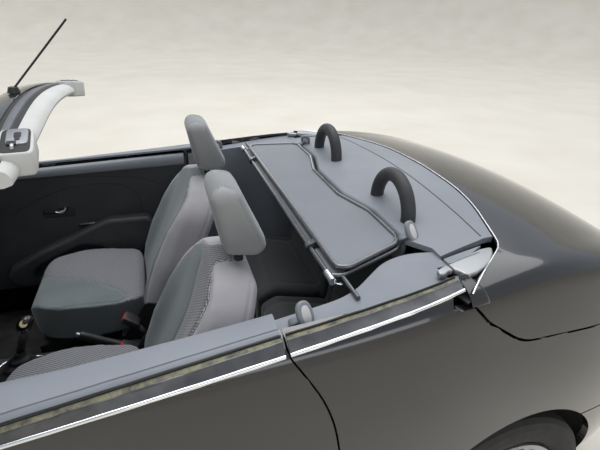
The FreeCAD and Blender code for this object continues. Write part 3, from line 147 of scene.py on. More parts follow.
def spread(material, fac, low, high, socket):
    """A shader socket that varies between two values with fac."""
    node = add(material, "ShaderNodeMapRange")
    node.inputs["To Min"].default_value = low
    node.inputs["To Max"].default_value = high
    link(material, fac, node.inputs["Value"])
    link(material, node.outputs["Result"], shader_of(material).inputs[socket])


def bump(material, height, distance, strength):
    node = add(material, "ShaderNodeBump")
    node.inputs["Strength"].default_value = strength
    node.inputs["Distance"].default_value = distance
    link(material, height, node.inputs["Height"])
    link(material, node.outputs["Normal"], shader_of(material).inputs["Normal"])


def tint(material, fac, low, high, at=(0.3, 0.7)):
    link(material, ramp(material, fac, [(at[0], low), (at[1], high)]), shader_of(material).inputs["Base Color"])


def paint():
    """Black gloss paint under clear lacquer, with a faint dust film and orange peel."""
    m = new_material("black_paint", (0.006, 0.006, 0.007), 0.18,
                     Coat_Weight=1.0, Coat_Roughness=0.02, Coat_IOR=1.47)
    spread(m, noise(m, 2.5, 5.0), 0.14, 0.26, "Roughness")
    tint(m, noise(m, 900, 2.0), (0.005, 0.005, 0.006), (0.011, 0.011, 0.013))
    bump(m, noise(m, 180, 1.0), 0.00002, 0.15)
    return m


def plastic(name, dark, light, rough, grain=1400, depth=0.00012):
    """Moulded plastic with a fine leather-like grain and slight changes of tone."""
    m = new_material(name, light, rough)
    tint(m, noise(m, 6, 4.0), dark, light)
    spread(m, noise(m, 14, 4.0), rough - 0.06, rough + 0.08, "Roughness")
    bump(m, cells(m, grain), depth, 0.5)
    return m


def metal(name, colour, rough, scratch=0.08):
    m = new_material(name, colour, rough, 1.0)
    spread(m, noise(m, 30, 5.0), rough, rough + scratch, "Roughness")
    bump(m, noise(m, 500, 2.0), 0.00002, 0.2)
    return m


def glass(name, colour, rough=0.0):
    m = new_material(name, colour, rough, Transmission_Weight=1.0, IOR=1.45)
    spread(m, noise(m, 3, 4.0), rough, rough + 0.02, "Roughness")
    return m


def rubber(name, dark, light, rough):
    m = new_material(name, dark, rough)
    tint(m, noise(m, 20, 6.0), dark, light)
    spread(m, noise(m, 60, 4.0), rough - 0.08, rough + 0.1, "Roughness")
    bump(m, noise(m, 700, 3.0), 0.0001, 0.4)
    return m


PAINT = paint()
BLACK = plastic("black_plastic", (0.012, 0.012, 0.013), (0.022, 0.022, 0.024), 0.42)
PIANO = new_material("gloss_black", (0.01, 0.01, 0.011), 0.1, Coat_Weight=0.6, Coat_Roughness=0.04)
spread(PIANO, noise(PIANO, 12, 4.0), 0.08, 0.2, "Roughness")
GREY = plastic("grey_trim", (0.215, 0.232, 0.262), (0.245, 0.262, 0.292), 0.5, 900, 0.00016)
DARK = plastic("dark_trim", (0.03, 0.032, 0.035), (0.042, 0.045, 0.049), 0.55, 800, 0.0002)
LIGHT = plastic("light_trim", (0.56, 0.56, 0.54), (0.66, 0.66, 0.64), 0.6, 1200, 0.0001)
CHROME = metal("chrome", (0.86, 0.87, 0.88), 0.06, 0.06)
SATIN = metal("satin_metal", (0.55, 0.56, 0.58), 0.28, 0.1)
STEEL = metal("steel", (0.33, 0.34, 0.36), 0.38, 0.15)
CAST = metal("cast_metal", (0.3, 0.31, 0.32), 0.5, 0.2)
ALLOY = new_material("alloy", (0.52, 0.53, 0.55), 0.26, 0.85, Coat_Weight=0.5, Coat_Roughness=0.1)
spread(ALLOY, noise(ALLOY, 40, 4.0), 0.22, 0.36, "Roughness")
GLASS = glass("clear_glass", (0.93, 0.97, 0.95))
LAMP_GLASS = glass("lamp_clear", (0.96, 0.97, 0.98))
RED_LENS = new_material("lamp_red", (0.42, 0.01, 0.012), 0.12, Transmission_Weight=0.35, Coat_Weight=0.8)
spread(RED_LENS, noise(RED_LENS, 30, 3.0), 0.08, 0.2, "Roughness")
TYRE = rubber("tyre_rubber", (0.014, 0.014, 0.014), (0.026, 0.025, 0.024), 0.72)
SEAL = rubber("seal_rubber", (0.012, 0.012, 0.012), (0.02, 0.02, 0.02), 0.6)
UNDER = rubber("underbody", (0.02, 0.02, 0.021), (0.045, 0.042, 0.038), 0.8)

SLOT_LOOKS = {
    "body_paint": PAINT, "black_plastic": BLACK, "gloss_black": PIANO, "grey_trim": GREY, "dark_trim": DARK,
    "light_trim": LIGHT, "glass": GLASS, "lamp_clear": LAMP_GLASS, "lamp_red": RED_LENS, "tyre": TYRE,
    "alloy": ALLOY, "steel": STEEL, "cast": CAST, "underbody": UNDER,
}
NODE_SLOTS = {row["node"]: row["material_slot"] for row in frame["record"]["subparts"]}


def dress_data(data, *looks):
    data.materials.clear()
    for look in looks:
        data.materials.append(look)


def dress(obj, look):
    dress_data(obj.data, look)


# The smooth outer form that the panels are finished to

# In mm: x, then y and z of the sill edge, the widest point, the shoulder's start and its end, and z of the crown
SECTIONS = [
    (1903, 300, 330, 345, 450, 300, 570, 235, 600, 606),
    (1881, 480, 262, 535, 445, 490, 610, 410, 652, 665),
    (1813, 620, 215, 690, 450, 640, 668, 540, 722, 745),
    (1693, 700, 192, 775, 470, 725, 745, 615, 805, 835),
    (1513, 745, 190, 815, 490, 770, 805, 650, 868, 898),
    (1213, 765, 190, 830, 510, 790, 850, 680, 915, 950),
    (897, 772, 190, 833, 525, 797, 870, 705, 932, 966),
    (397, 775, 190, 834, 545, 802, 890, 735, 945, 970),
    (-3, 775, 190, 834, 560, 802, 915, 745, 965, 985),
    (-503, 775, 190, 834, 580, 798, 950, 740, 1000, 1012),
    (-953, 768, 190, 831, 595, 775, 985, 700, 1038, 1052),
    (-1169, 760, 195, 822, 600, 750, 985, 655, 1050, 1078),
    (-1469, 740, 210, 800, 595, 722, 955, 620, 1022, 1058),
    (-1699, 690, 235, 752, 580, 680, 900, 575, 965, 1000),
    (-1819, 620, 262, 680, 560, 610, 840, 505, 900, 932),
    (-1879, 520, 290, 570, 535, 500, 740, 400, 800, 825),
    (-1903, 400, 330, 440, 500, 390, 640, 300, 690, 705),
]
MID_Z = 0.5
ANGLES = 181
ALONG = 900
CAP = 59
CUT_STEP = 0.045
EDGE_ROUNDING = 0.0016
PANEL_SKIN = 0.018
NEAR_FORM = 0.0025
SAME_WAY, SMOOTH_WAY = 0.6, 0.85
# The bonnet's hinge lugs stand within this radius of its axis (x, z), outside this y, and keep their shape
BONNET_AXIS = (1.0, 0.9299)
LUG_RADIUS, LUG_INNER = 0.014, 0.55


def arc_points(a, b, c, count):
    """Points of the circle through three points of a plane, from a to c."""
    a, b, c = (np.array(p, float) for p in (a, b, c))
    d = 2 * (a[0] * (b[1] - c[1]) + b[0] * (c[1] - a[1]) + c[0] * (a[1] - b[1]))
    sq = [p @ p for p in (a, b, c)]
    centre = np.array([
        (sq[0] * (b[1] - c[1]) + sq[1] * (c[1] - a[1]) + sq[2] * (a[1] - b[1])) / d,
        (sq[0] * (c[0] - b[0]) + sq[1] * (a[0] - c[0]) + sq[2] * (b[0] - a[0])) / d,
    ])
    turns = [math.atan2(*(p - centre)[::-1]) for p in (a, b, c)]
    full = 2 * math.pi
    to_b, to_c = (turns[1] - turns[0]) % full, (turns[2] - turns[0]) % full
    if to_b > to_c:
        to_c -= full
    at = turns[0] + np.linspace(0, to_c, count)
    return centre + np.linalg.norm(a - centre) * np.stack([np.cos(at), np.sin(at)], 1)


def polar_radii(row):
    """The half-section's distance from the middle line at each angle, from straight down to straight up."""
    _, ya, za, yb, zb, yc, zc, yd, zd, ze = (v / 1000 for v in row)
    a, b, c, d, e = (ya, za), (yb, zb), (yc, zc), (yd, zd), (0, ze)
    corner = (c[0], d[1])
    m = tuple(0.25 * p + 0.5 * q + 0.25 * r for p, q, r in zip(c, corner, d))
    outline = np.concatenate([
        [(0.0, a[1])], arc_points(a, b, c, 60), arc_points(c, m, d, 30)[1:],
        arc_points(d, e, (-d[0], d[1]), 61)[1:31],
    ])
    turn = np.arctan2(outline[:, 1] - MID_Z, outline[:, 0])
    far = np.hypot(outline[:, 0], outline[:, 1] - MID_Z)
    wanted = np.linspace(-math.pi / 2, math.pi / 2, ANGLES)
    # along a straight or gently bent outline the inverse of the distance changes evenly
    return 1 / np.interp(wanted, turn, 1 / far)


def spline(x, y, at):
    """Natural cubic spline through the rows of y, read at the places at."""
    n = len(x)
    h = np.diff(x)
    a = np.zeros((n, n))
    b = np.zeros((n, y.shape[1]))
    a[0, 0] = a[-1, -1] = 1
    for i in range(1, n - 1):
        a[i, i - 1], a[i, i], a[i, i + 1] = h[i - 1], 2 * (h[i - 1] + h[i]), h[i]
        b[i] = 6 * ((y[i + 1] - y[i]) / h[i] - (y[i] - y[i - 1]) / h[i - 1])
    m = np.linalg.solve(a, b)
    k = np.clip(np.searchsorted(x, at) - 1, 0, n - 2)
    hk, u, v = h[k][:, None], (x[k + 1] - at)[:, None], (at - x[k])[:, None]
    return (m[k] * u ** 3 + m[k + 1] * v ** 3) / (6 * hk) + (y[k] / hk - m[k] * hk / 6) * u + (
        y[k + 1] / hk - m[k + 1] * hk / 6) * v


def blurred(grid, axis, spacing, width, mirror=False):
    """Smooths a grid along one axis with a bell curve of the given width."""
    reach = int(3 * width / spacing) + 1
    weights = np.exp(-0.5 * (np.arange(-reach, reach + 1) * spacing / width) ** 2)
    weights /= weights.sum()
    grid = np.moveaxis(grid, axis, 0)
    padded = np.concatenate([grid[reach:0:-1] if mirror else np.repeat(grid[:1], reach, 0), grid,
                             grid[-2:-reach - 2:-1] if mirror else np.repeat(grid[-1:], reach, 0)])
    done = sum(w * padded[i:i + len(grid)] for i, w in enumerate(weights))
    return np.moveaxis(done, 0, axis)


class OuterForm:
    """Lines from tail to nose, one for each angle round the body: x and distance from the middle line."""

    def __init__(self):
        x = np.array([row[0] for row in SECTIONS]) / 1000
        radii = np.array([polar_radii(row) for row in SECTIONS])
        order = np.argsort(x)
        steps = np.cumsum(np.r_[0, np.hypot(np.diff(x[order]), np.diff(radii[order].mean(1)))])
        at = np.linspace(0, steps[-1], ALONG)
        along = spline(steps, np.c_[x[order], radii[order]], at)
        xs, rs = along[:, 0], along[:, 1:]
        cap = np.linspace(0.02, 1, CAP + 1)[:-1, None]
        x = np.concatenate([np.full(CAP, xs[0]), xs, np.full(CAP, xs[-1])])
        r = np.concatenate([cap * rs[0], rs, (cap * rs[-1])[::-1]])
        gap = steps[-1] / ALONG
        self.x = blurred(np.repeat(x[:, None], ANGLES, 1), 0, gap, 0.012)
        self.r = blurred(blurred(r, 0, gap, 0.012), 1, math.pi / (ANGLES - 1) * 0.7, 0.022, mirror=True)
        self.turns = np.linspace(-math.pi / 2, math.pi / 2, ANGLES)
        p = self.points(self.x, self.r, self.turns[None, :])
        across = np.gradient(p, axis=1)
        forward = np.gradient(p, axis=0)
        n = np.cross(across, forward)
        self.n = n / np.maximum(np.linalg.norm(n, axis=2, keepdims=True), 1e-12)

    @staticmethod
    def points(x, r, turn):
        return np.stack([x, r * np.cos(turn), MID_Z + r * np.sin(turn)], -1)

    def nearest(self, co):
        """The nearest point of the form, its normal and how far outside it each point lies."""
        side = np.where(co[:, 1] < 0, -1.0, 1.0)
        y, z = np.abs(co[:, 1]), co[:, 2] - MID_Z
        turn = np.clip(np.arctan2(z, y), -math.pi / 2, math.pi / 2)
        far = np.hypot(y, z)
        place = (turn + math.pi / 2) / math.pi * (ANGLES - 1)
        k = np.clip(place.astype(int), 0, ANGLES - 2)
        w = (place - k)[:, None]
        out, normal = np.empty_like(co), np.empty_like(co)
        for i in range(0, len(co), 4000):
            s = slice(i, i + 4000)
            lx = self.x[:, k[s]].T * (1 - w[s]) + self.x[:, k[s] + 1].T * w[s]
            lr = self.r[:, k[s]].T * (1 - w[s]) + self.r[:, k[s] + 1].T * w[s]
            d = (lx - co[s, :1]) ** 2 + (lr - far[s, None]) ** 2
            j = np.clip(d.argmin(1), 1, lx.shape[1] - 2)
            row = np.arange(len(j))
            best = np.full(len(j), 1e9)
            px, pr, pj = np.zeros(len(j)), np.zeros(len(j)), np.zeros(len(j))
            for step in (-1, 0):
                ax, ar = lx[row, j + step], lr[row, j + step]
                dx, dr = lx[row, j + step + 1] - ax, lr[row, j + step + 1] - ar
                share = ((co[s, 0] - ax) * dx + (far[s] - ar) * dr) / np.maximum(dx * dx + dr * dr, 1e-12)
                t = np.clip(share, 0, 1)
                qx, qr = ax + t * dx, ar + t * dr
                dist = (qx - co[s, 0]) ** 2 + (qr - far[s]) ** 2
                better = dist < best
                best = np.where(better, dist, best)
                px, pr = np.where(better, qx, px), np.where(better, qr, pr)
                pj = np.where(better, j + step + t, pj)
            out[s] = self.points(px, pr, turn[s])
            j0 = np.clip(pj.astype(int), 0, self.x.shape[0] - 2)
            f = (pj - j0)[:, None]
            ks = k[s]
            normal[s] = ((self.n[j0, ks] * (1 - w[s]) + self.n[j0, ks + 1] * w[s]) * (1 - f)
                         + (self.n[j0 + 1, ks] * (1 - w[s]) + self.n[j0 + 1, ks + 1] * w[s]) * f)
        normal /= np.maximum(np.linalg.norm(normal, axis=1, keepdims=True), 1e-12)
        out[:, 1] *= side
        normal[:, 1] *= side
        return out, normal, ((co - out) * normal).sum(1)


OUTER = OuterForm()


def smooth_faces(data):
    for polygon in data.polygons:
        polygon.use_smooth = True


def mesh_of(name, bm, look):
    data = bpy.data.meshes.new(name)
    bm.to_mesh(data)
    bm.free()
    data.materials.append(look)
    smooth_faces(data)
    obj = bpy.data.objects.new(name, data)
    bpy.context.scene.collection.objects.link(obj)
    return obj


def round_edges(bm, edges, offset, segments):
    bmesh.ops.bevel(bm, geom=edges, offset=offset, segments=segments, profile=0.5, affect="EDGES",
                    clamp_overlap=True)


def finished_panel(node, body, name, look):
    """A CAD panel cut into a finer net and laid onto the smooth form, with softened edges."""
    bm = bmesh.new()
    bm.from_mesh(NODES[node].data)
    bmesh.ops.remove_doubles(bm, verts=bm.verts, dist=0.00004)
    co = np.array([v.co for v in bm.verts])
    lo, hi = co.min(0), co.max(0)

    def cut(point, normal):
        bmesh.ops.bisect_plane(bm, geom=bm.verts[:] + bm.edges[:] + bm.faces[:], dist=0.0002,
                               plane_co=point, plane_no=normal)

    for x in np.arange(math.ceil(lo[0] / CUT_STEP) * CUT_STEP, hi[0], CUT_STEP):
        cut((x, 0, 0), (1, 0, 0))
    turns = np.arctan2(co[:, 2] - MID_Z, np.abs(co[:, 1]))
    for turn in np.radians(np.r_[np.arange(-88, 17, 4), np.arange(18, 42, 1.25), np.arange(43, 91, 3)]):
        if turns.min() < turn < turns.max():
            for side in (1, -1):
                if (hi[1] > 0.01 and side > 0) or (lo[1] < -0.01 and side < 0):
                    cut((0, 0, MID_Z), (0, -side * math.sin(turn), math.cos(turn)))
    bmesh.ops.remove_doubles(bm, verts=bm.verts, dist=0.00003)
    co = np.array([v.co for v in bm.verts])
    out, _, outside = OUTER.nearest(co)
    on_outer = outside > -PANEL_SKIN / 2
    if node == "bonnet":
        from_axis = np.hypot(co[:, 0] - BONNET_AXIS[0], co[:, 2] - BONNET_AXIS[1])
        on_outer &= (from_axis > LUG_RADIUS) | (np.abs(co[:, 1]) < LUG_INNER)
    place = np.where(on_outer[:, None], out, co)
    for v, p in zip(bm.verts, place):
        v.co = p
    bm.normal_update()
    mark = bm.verts.layers.int.new("outer")
    for v, flag in zip(bm.verts, on_outer):
        v[mark] = int(flag)
    whole = {f: all(v[mark] for v in f.verts) for f in bm.faces}
    rims = [e for e in bm.edges if len(e.link_faces) == 2 and e.calc_face_angle(0) > 0.7
            and whole[e.link_faces[0]] != whole[e.link_faces[1]] and all(v[mark] for v in e.verts)]
    round_edges(bm, rims, EDGE_ROUNDING, 2)
    bmesh.ops.triangulate(bm, faces=bm.faces)
    bm.normal_update()
    obj = mesh_of(name, bm, look)
    set_normals(obj)
    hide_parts(node)
    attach(obj, body)
    return obj


def set_normals(obj):
    """Points on the outer form take its normal. Other places are shaded by face, with a limit on the angle."""
    data = obj.data
    co = np.empty(len(data.vertices) * 3)
    data.vertices.foreach_get("co", co)
    co = co.reshape(-1, 3)
    _, normal, outside = OUTER.nearest(co)
    faces = np.array([p.normal for p in data.polygons])
    loops = np.array([l.vertex_index for l in data.loops])
    of_face = np.repeat(np.arange(len(data.polygons)), [p.loop_total for p in data.polygons])
    fn = faces[of_face]
    vn = normal[loops]
    agree = (fn * vn).sum(1)
    near = np.abs(outside[loops]) < NEAR_FORM
    all_near = np.ones(len(data.polygons), bool)
    np.logical_and.at(all_near, of_face, near)
    use = all_near[of_face] & (agree > SAME_WAY)
    area_sum = np.zeros((len(data.vertices), 3))
    np.add.at(area_sum, loops[~use], fn[~use])
    soft = area_sum[loops]
    soft /= np.maximum(np.linalg.norm(soft, axis=1, keepdims=True), 1e-9)
    flat = np.where(((soft * fn).sum(1) > SMOOTH_WAY)[:, None], soft, fn)
    chosen = np.where(use[:, None], vn, flat)
    data.normals_split_custom_set(chosen.tolist())


PANELS = [
    ("front_wings", "root", "wing_panels", PAINT), ("front_bumper", "root", "nose_panel", PAINT),
    ("body_sides", "root", "side_panels", PAINT), ("rear_bumper", "root", "tail_panel", PAINT),
    ("bonnet", "bonnet", "bonnet_panel", PAINT), ("boot_lid", "boot_lid", "lid_panel", PAINT),
    ("door_shell_left", "door_left", "door_panel_left", PAINT),
    ("door_shell_right", "door_right", "door_panel_right", PAINT),
    ("tail_lamps", "root", "tail_lenses", RED_LENS),
]
for node, body, name, look in PANELS:
    finished_panel(node, body, name, look)


# Building blocks

def ride_with(obj, body, replaced=()):
    if replaced:
        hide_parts(*replaced)
    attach(obj, body)
    return obj


def grid_mesh(name, rows, look, closed=False, caps=False):
    """A surface through rows of points. closed joins the last column to the first."""
    bm = bmesh.new()
    verts = [[bm.verts.new(p) for p in row] for row in rows]
    width = len(rows[0])
    for i in range(len(rows) - 1):
        for j in range(width if closed else width - 1):
            k = (j + 1) % width
            bm.faces.new((verts[i][j], verts[i][k], verts[i + 1][k], verts[i + 1][j]))
    if caps:
        for row in (verts[0][::-1], verts[-1]):
            bm.faces.new(row)
    bmesh.ops.recalc_face_normals(bm, faces=bm.faces)
    return mesh_of(name, bm, look)


def sharp_by_angle(obj, degrees=35):
    """Smooth shading that stays sharp at edges over the angle."""
    data = obj.data
    bm = bmesh.new()
    bm.from_mesh(data)
    for edge in bm.edges:
        edge.smooth = len(edge.link_faces) == 2 and edge.calc_face_angle(0) < math.radians(degrees)
    bm.to_mesh(data)
    bm.free()
    return obj


def bevelled(obj, width):
    modifier = obj.modifiers.new("edges", "BEVEL")
    modifier.width = width
    modifier.segments = 3
    modifier.limit_method = "ANGLE"
    modifier.harden_normals = False
    return obj


def tube(name, points, radius, look, closed=False):
    """A round tube along a smooth line."""
    data = bpy.data.curves.new(name, "CURVE")
    data.dimensions = "3D"
    data.bevel_depth = radius
    data.bevel_resolution = 4
    data.resolution_u = 12
    data.use_fill_caps = True
    path = data.splines.new("NURBS")
    path.points.add(len(points) - 1)
    for point, co in zip(path.points, points):
        point.co = (*co, 1)
    path.use_cyclic_u = closed
    path.order_u = 4 if len(points) > 3 else len(points)
    path.use_endpoint_u = not closed
    data.materials.append(look)
    obj = bpy.data.objects.new(name, data)
    bpy.context.scene.collection.objects.link(obj)
    return obj


def solid(name, outline, depth, look, place=None, edge=0.0, segments=3):
    """A flat outline made solid on both sides of its plane, with softened edges."""
    bm = bmesh.new()
    low = [bm.verts.new((u, v, -depth / 2)) for u, v in outline]
    high = [bm.verts.new((u, v, depth / 2)) for u, v in outline]
    bm.faces.new(low[::-1])
    bm.faces.new(high)
    for i in range(len(outline)):
        k = (i + 1) % len(outline)
        bm.faces.new((low[i], low[k], high[k], high[i]))
    bmesh.ops.recalc_face_normals(bm, faces=bm.faces)
    if edge:
        round_edges(bm, [e for e in bm.edges if e.calc_face_angle(0) > 0.6], edge, segments)
    if place is not None:
        bmesh.ops.transform(bm, matrix=place, verts=bm.verts)
    return sharp_by_angle(mesh_of(name, bm, look), 30)


def ellipse(a, b, count, power=1.0):
    """An ellipse's points, or with a power below 1 those of a rounded oblong."""
    turns = [2 * math.pi * i / count for i in range(count)]
    return [(a * math.copysign(abs(math.cos(t)) ** power, math.cos(t)),
             b * math.copysign(abs(math.sin(t)) ** power, math.sin(t))) for t in turns]


def ring_of(centre, a, b, count, power=1.0):
    """The same outline, lying level round a centre."""
    return [(centre[0] + u, centre[1] + v, centre[2]) for u, v in ellipse(a, b, count, power)]


def oval(wide, high, count, power=1.0):
    """Sections for loft: ellipses whose half axes (start, change) vary evenly along the path."""
    return lambda t: ellipse(wide[0] + wide[1] * t, high[0] + high[1] * t, count, power)


def loft(name, path, section, look):
    """Sections (lists of offsets across and up) carried along a path."""
    rows = []
    n = len(path)
    for i, place in enumerate(path):
        along = (Vector(path[min(i + 1, n - 1)]) - Vector(path[max(i - 1, 0)])).normalized()
        up = Vector((0, 0, 1)) if abs(along.z) < 0.9 else Vector((1, 0, 0))
        side = along.cross(up).normalized()
        up = side.cross(along).normalized()
        rows.append([Vector(place) + side * a + up * b for a, b in section(i / (n - 1))])
    return grid_mesh(name, rows, look, closed=True, caps=True)


def weld(obj):
    bm = bmesh.new()
    bm.from_mesh(obj.data)
    bmesh.ops.remove_doubles(bm, verts=bm.verts, dist=0.00002)
    bm.to_mesh(obj.data)
    bm.free()


def between(a, b, c, d, t):
    """A place on the smooth line through four points, between b and c."""
    return 0.5 * (2 * b + (c - a) * t + (2 * a - 5 * b + 4 * c - d) * t * t + (3 * b - a - 3 * c + d) * t ** 3)


def facing(centre, normal):
    """A place whose own z looks along normal, with its y upwards."""
    n = Vector(normal).normalized()
    u = Vector((0, 0, 1)) - n * n.dot(Vector((0, 0, 1)))
    u.normalize()
    return Matrix.Translation(centre) @ Matrix((u.cross(n), u, n)).transposed().to_4x4()


def turned(where, turn, tilt, axis="X"):
    """A place turned about the upright and then tilted about its own axis."""
    return Matrix.Translation(where) @ Matrix.Rotation(turn, 4, "Z") @ Matrix.Rotation(tilt, 4, axis)


def mirror_name(name, way):
    return name + ("_left" if way > 0 else "_right")


def flip(points, way):
    """Places given for the left side, on the side of way."""
    return [(p[0], p[1] * way, p[2]) for p in points]


def flip_plan(points, way):
    return [(x, y * way) for x, y in points]


# Places on the outer form

def form_row(x):
    """The form's half section at x: its points from the sill to the crown."""
    radii = np.array([np.interp(x, OUTER.x[CAP:-CAP, k], OUTER.r[CAP:-CAP, k]) for k in range(ANGLES)])
    return OUTER.points(np.full(ANGLES, x), radii, OUTER.turns)


def waist_line(x):
    """The height of the bright bead under the side windows' line."""
    return 0.9148 - 0.1174 * x


def over_waist(x, spans, lifts):
    """Places on the left side at x, at distances above the bead along the form and lifted off it."""
    row = form_row(x)
    upper = row[row[:, 2] > 0.7]
    length = np.cumsum(np.r_[0, np.linalg.norm(np.diff(upper, axis=0), axis=1)])
    bead = np.interp(waist_line(x), upper[:, 2], length)
    out = []
    for span, lift in zip(spans, lifts):
        at = bead + span
        p = np.array([np.interp(at, length, upper[:, i]) for i in range(3)])
        q = np.array([np.interp(at + 0.004, length, upper[:, i]) for i in range(3)])
        t = (q - p) / max(np.linalg.norm(q - p), 1e-9)
        n = np.array([0, t[2], -t[1]])
        out.append(p + n * (lift + (0.001 if lift > 0 else -0.002)))
    return np.array(out)


def waist_piece(name, xs, section, look, body, way):
    """A moulding along the waist. section gives (distance, lift) pairs at x, round its closed outline."""
    rows = []
    for x in xs:
        spans, lifts = zip(*section(x))
        rows.append(flip(over_waist(x, spans, lifts), way))
    obj = grid_mesh(mirror_name(name, way), rows, look, closed=True, caps=True)
    sharp_by_angle(obj, 40)
    return ride_with(obj, body)


def bead_section(_):
    return [(0.0045 * math.cos(t), 0.002 + 0.0042 * math.sin(t)) for t in np.linspace(-0.5, math.pi + 0.5, 11)]


def band_width(x):
    return float(np.interp(x, [-0.98, -0.5, 0.0, 0.74], [0.028, 0.03, 0.02, 0.018]))


def band_section(x):
    w = band_width(x)
    return [(0.004, -0.001), (0.004, 0.0022), (w - 0.004, 0.0032), (w - 0.001, 0.0046), (w + 0.001, 0.004),
            (w + 0.001, -0.001)]


def channel_section(x):
    w = band_width(x)
    return [(w + 0.0015, -0.001), (w + 0.0015, 0.0006), (w + 0.012, 0.0002), (w + 0.013, -0.001)]


def lip_section(x):
    w = band_width(x) + 0.012
    return [(w, -0.001), (w, 0.002), (w + 0.0015, 0.0045), (w + 0.004, 0.0048), (w + 0.0055, 0.002),
            (w + 0.0055, -0.001)]


def cap_section(x):
    w = band_width(x) + 0.018
    return [(w, -0.001), (w, 0.0025), (w + 0.002, 0.0038), (w + 0.011, 0.0042), (w + 0.0125, 0.0022),
            (w + 0.014, 0.0022), (w + 0.0155, 0.0045), (0.105, 0.0048), (0.115, 0.001), (0.115, -0.004)]


POLLEN = new_material("dusty_channel", (0.3, 0.28, 0.2), 0.85)
tint(POLLEN, noise(POLLEN, 45, 6.0, 0.7), (0.09, 0.09, 0.085), (0.36, 0.33, 0.2), (0.35, 0.68))
spread(POLLEN, noise(POLLEN, 80, 4.0), 0.6, 0.95, "Roughness")
bump(POLLEN, noise(POLLEN, 300, 4.0), 0.0004, 0.8)
BAND = new_material("waist_band", (0.09, 0.092, 0.098), 0.32, 0.65)
tint(BAND, noise(BAND, 25, 5.0), (0.075, 0.077, 0.083), (0.125, 0.127, 0.133))
spread(BAND, noise(BAND, 60, 5.0), 0.26, 0.42, "Roughness")

WAIST = (
    ("_bead", bead_section, CHROME, "steel"), ("_band", band_section, BAND, "steel"),
    ("_channel", channel_section, POLLEN, "dark_trim"), ("_lip", lip_section, SEAL, "black_plastic"),
)
for way, side in SIDES:
    door = "door_" + side
    for part, xs, body in (("door", np.linspace(-0.53, 0.74, 44), door),
                           ("quarter", np.linspace(-0.978, -0.5405, 18), "root")):
        for piece, section, look, slot in WAIST:
            waist_piece(part + piece, xs, section, look, body, way)
    waist_piece("door_cap", np.linspace(-0.528, 0.735, 40), cap_section, GREY, door, way)


# Soft parts: even nets over the CAD pads, puffed between their seams

SEAT_Y, REAR_SEAT_Y = 0.35, 0.277
LEAN = math.radians(24)
# The seat back's foot, and the x of the headrests' posts, measured rearwards
BACK_X, BACK_Z = -0.205, 0.505
POST_X = -BACK_X + 0.560 * math.sin(LEAN) + 0.078 * math.cos(LEAN)
POST_SPAN = 0.045


def pad(node, way, name, look, voxel, shape, smooth=6, mend=None):
    """A soft part of one side: an even net over the CAD pad, given its form by shape(points, normals, way).

    shape returns how far each point moves, and what the cloth's shader reads there: its distances to the inset's
    seam and to the rim's, and its place on the cloth.
    """
    bm = bmesh.new()
    bm.from_mesh(NODES[node].data)
    bmesh.ops.delete(bm, geom=[v for v in bm.verts if v.co.y * way < 0], context="VERTS")
    bmesh.ops.remove_doubles(bm, verts=bm.verts, dist=0.00002)
    if mend:
        mend(bm)
    source = mesh_of(name + "_source", bm, look)
    net = source.modifiers.new("net", "REMESH")
    net.mode = "VOXEL"
    net.voxel_size = voxel * 1
    even = source.modifiers.new("even", "SMOOTH")
    even.factor = 0.5
    even.iterations = smooth
    data = bpy.data.meshes.new_from_object(source.evaluated_get(bpy.context.evaluated_depsgraph_get()))
    bpy.data.objects.remove(source)
    obj = bpy.data.objects.new(mirror_name(name, way), data)
    bpy.context.scene.collection.objects.link(obj)
    dress(obj, look)

    co, normal = (np.empty(len(data.vertices) * 3) for _ in range(2))
    data.vertices.foreach_get("co", co)
    data.vertex_normals.foreach_get("vector", normal)
    co, normal = co.reshape(-1, 3), normal.reshape(-1, 3)
    moves, inset, rim, lay = shape(co, normal, way)
    data.vertices.foreach_set("co", (co + moves).ravel())
    for key, kind, field, values in (("inset", "FLOAT", "value", inset), ("rim", "FLOAT", "value", rim),
                                     ("lay", "FLOAT_VECTOR", "vector", lay)):
        data.attributes.new(key, kind, "POINT").data.foreach_set(field, values.astype(np.float32).ravel())
    smooth_faces(data)
    finer = obj.modifiers.new("finer", "SUBSURF")
    finer.levels = finer.render_levels = 1
    ride_with(obj, "root", (node,) if way > 0 else ())


def round_outline(corners):
    """A closed smooth line through corners."""
    p = np.array(corners, float)
    n = len(p)
    return np.array([between(p[i - 1], p[i], p[(i + 1) % n], p[(i + 2) % n], t)
                     for i in range(n) for t in np.arange(12) / 12])


def outline_distance(places, outline):
    """Signed distance to a closed outline in its plane, less than zero inside."""
    a, b = outline, np.roll(outline, -1, 0)
    best = np.full(len(places), 1e9)
    inside = np.zeros(len(places), bool)
    for p, q in zip(a, b):
        d = q - p
        t = np.clip(((places - p) @ d) / max(d @ d, 1e-12), 0, 1)
        best = np.minimum(best, np.linalg.norm(places - p - t[:, None] * d, axis=1))
        crosses = (p[1] > places[:, 1]) != (q[1] > places[:, 1])
        at = p[0] + (places[:, 1] - p[1]) * d[0] / (d[1] if abs(d[1]) > 1e-12 else 1e-12)
        inside ^= crosses & (places[:, 0] < at)
    return np.where(inside, -best, best)


def groove(distance, depth, width):
    """A sewn channel along the places of no distance."""
    return -depth * np.exp(-(distance / width) ** 2)


def puff(distance, height, reach):
    """A swelling away from the places of no distance."""
    return height * (1 - np.exp(-(distance / reach) ** 2))


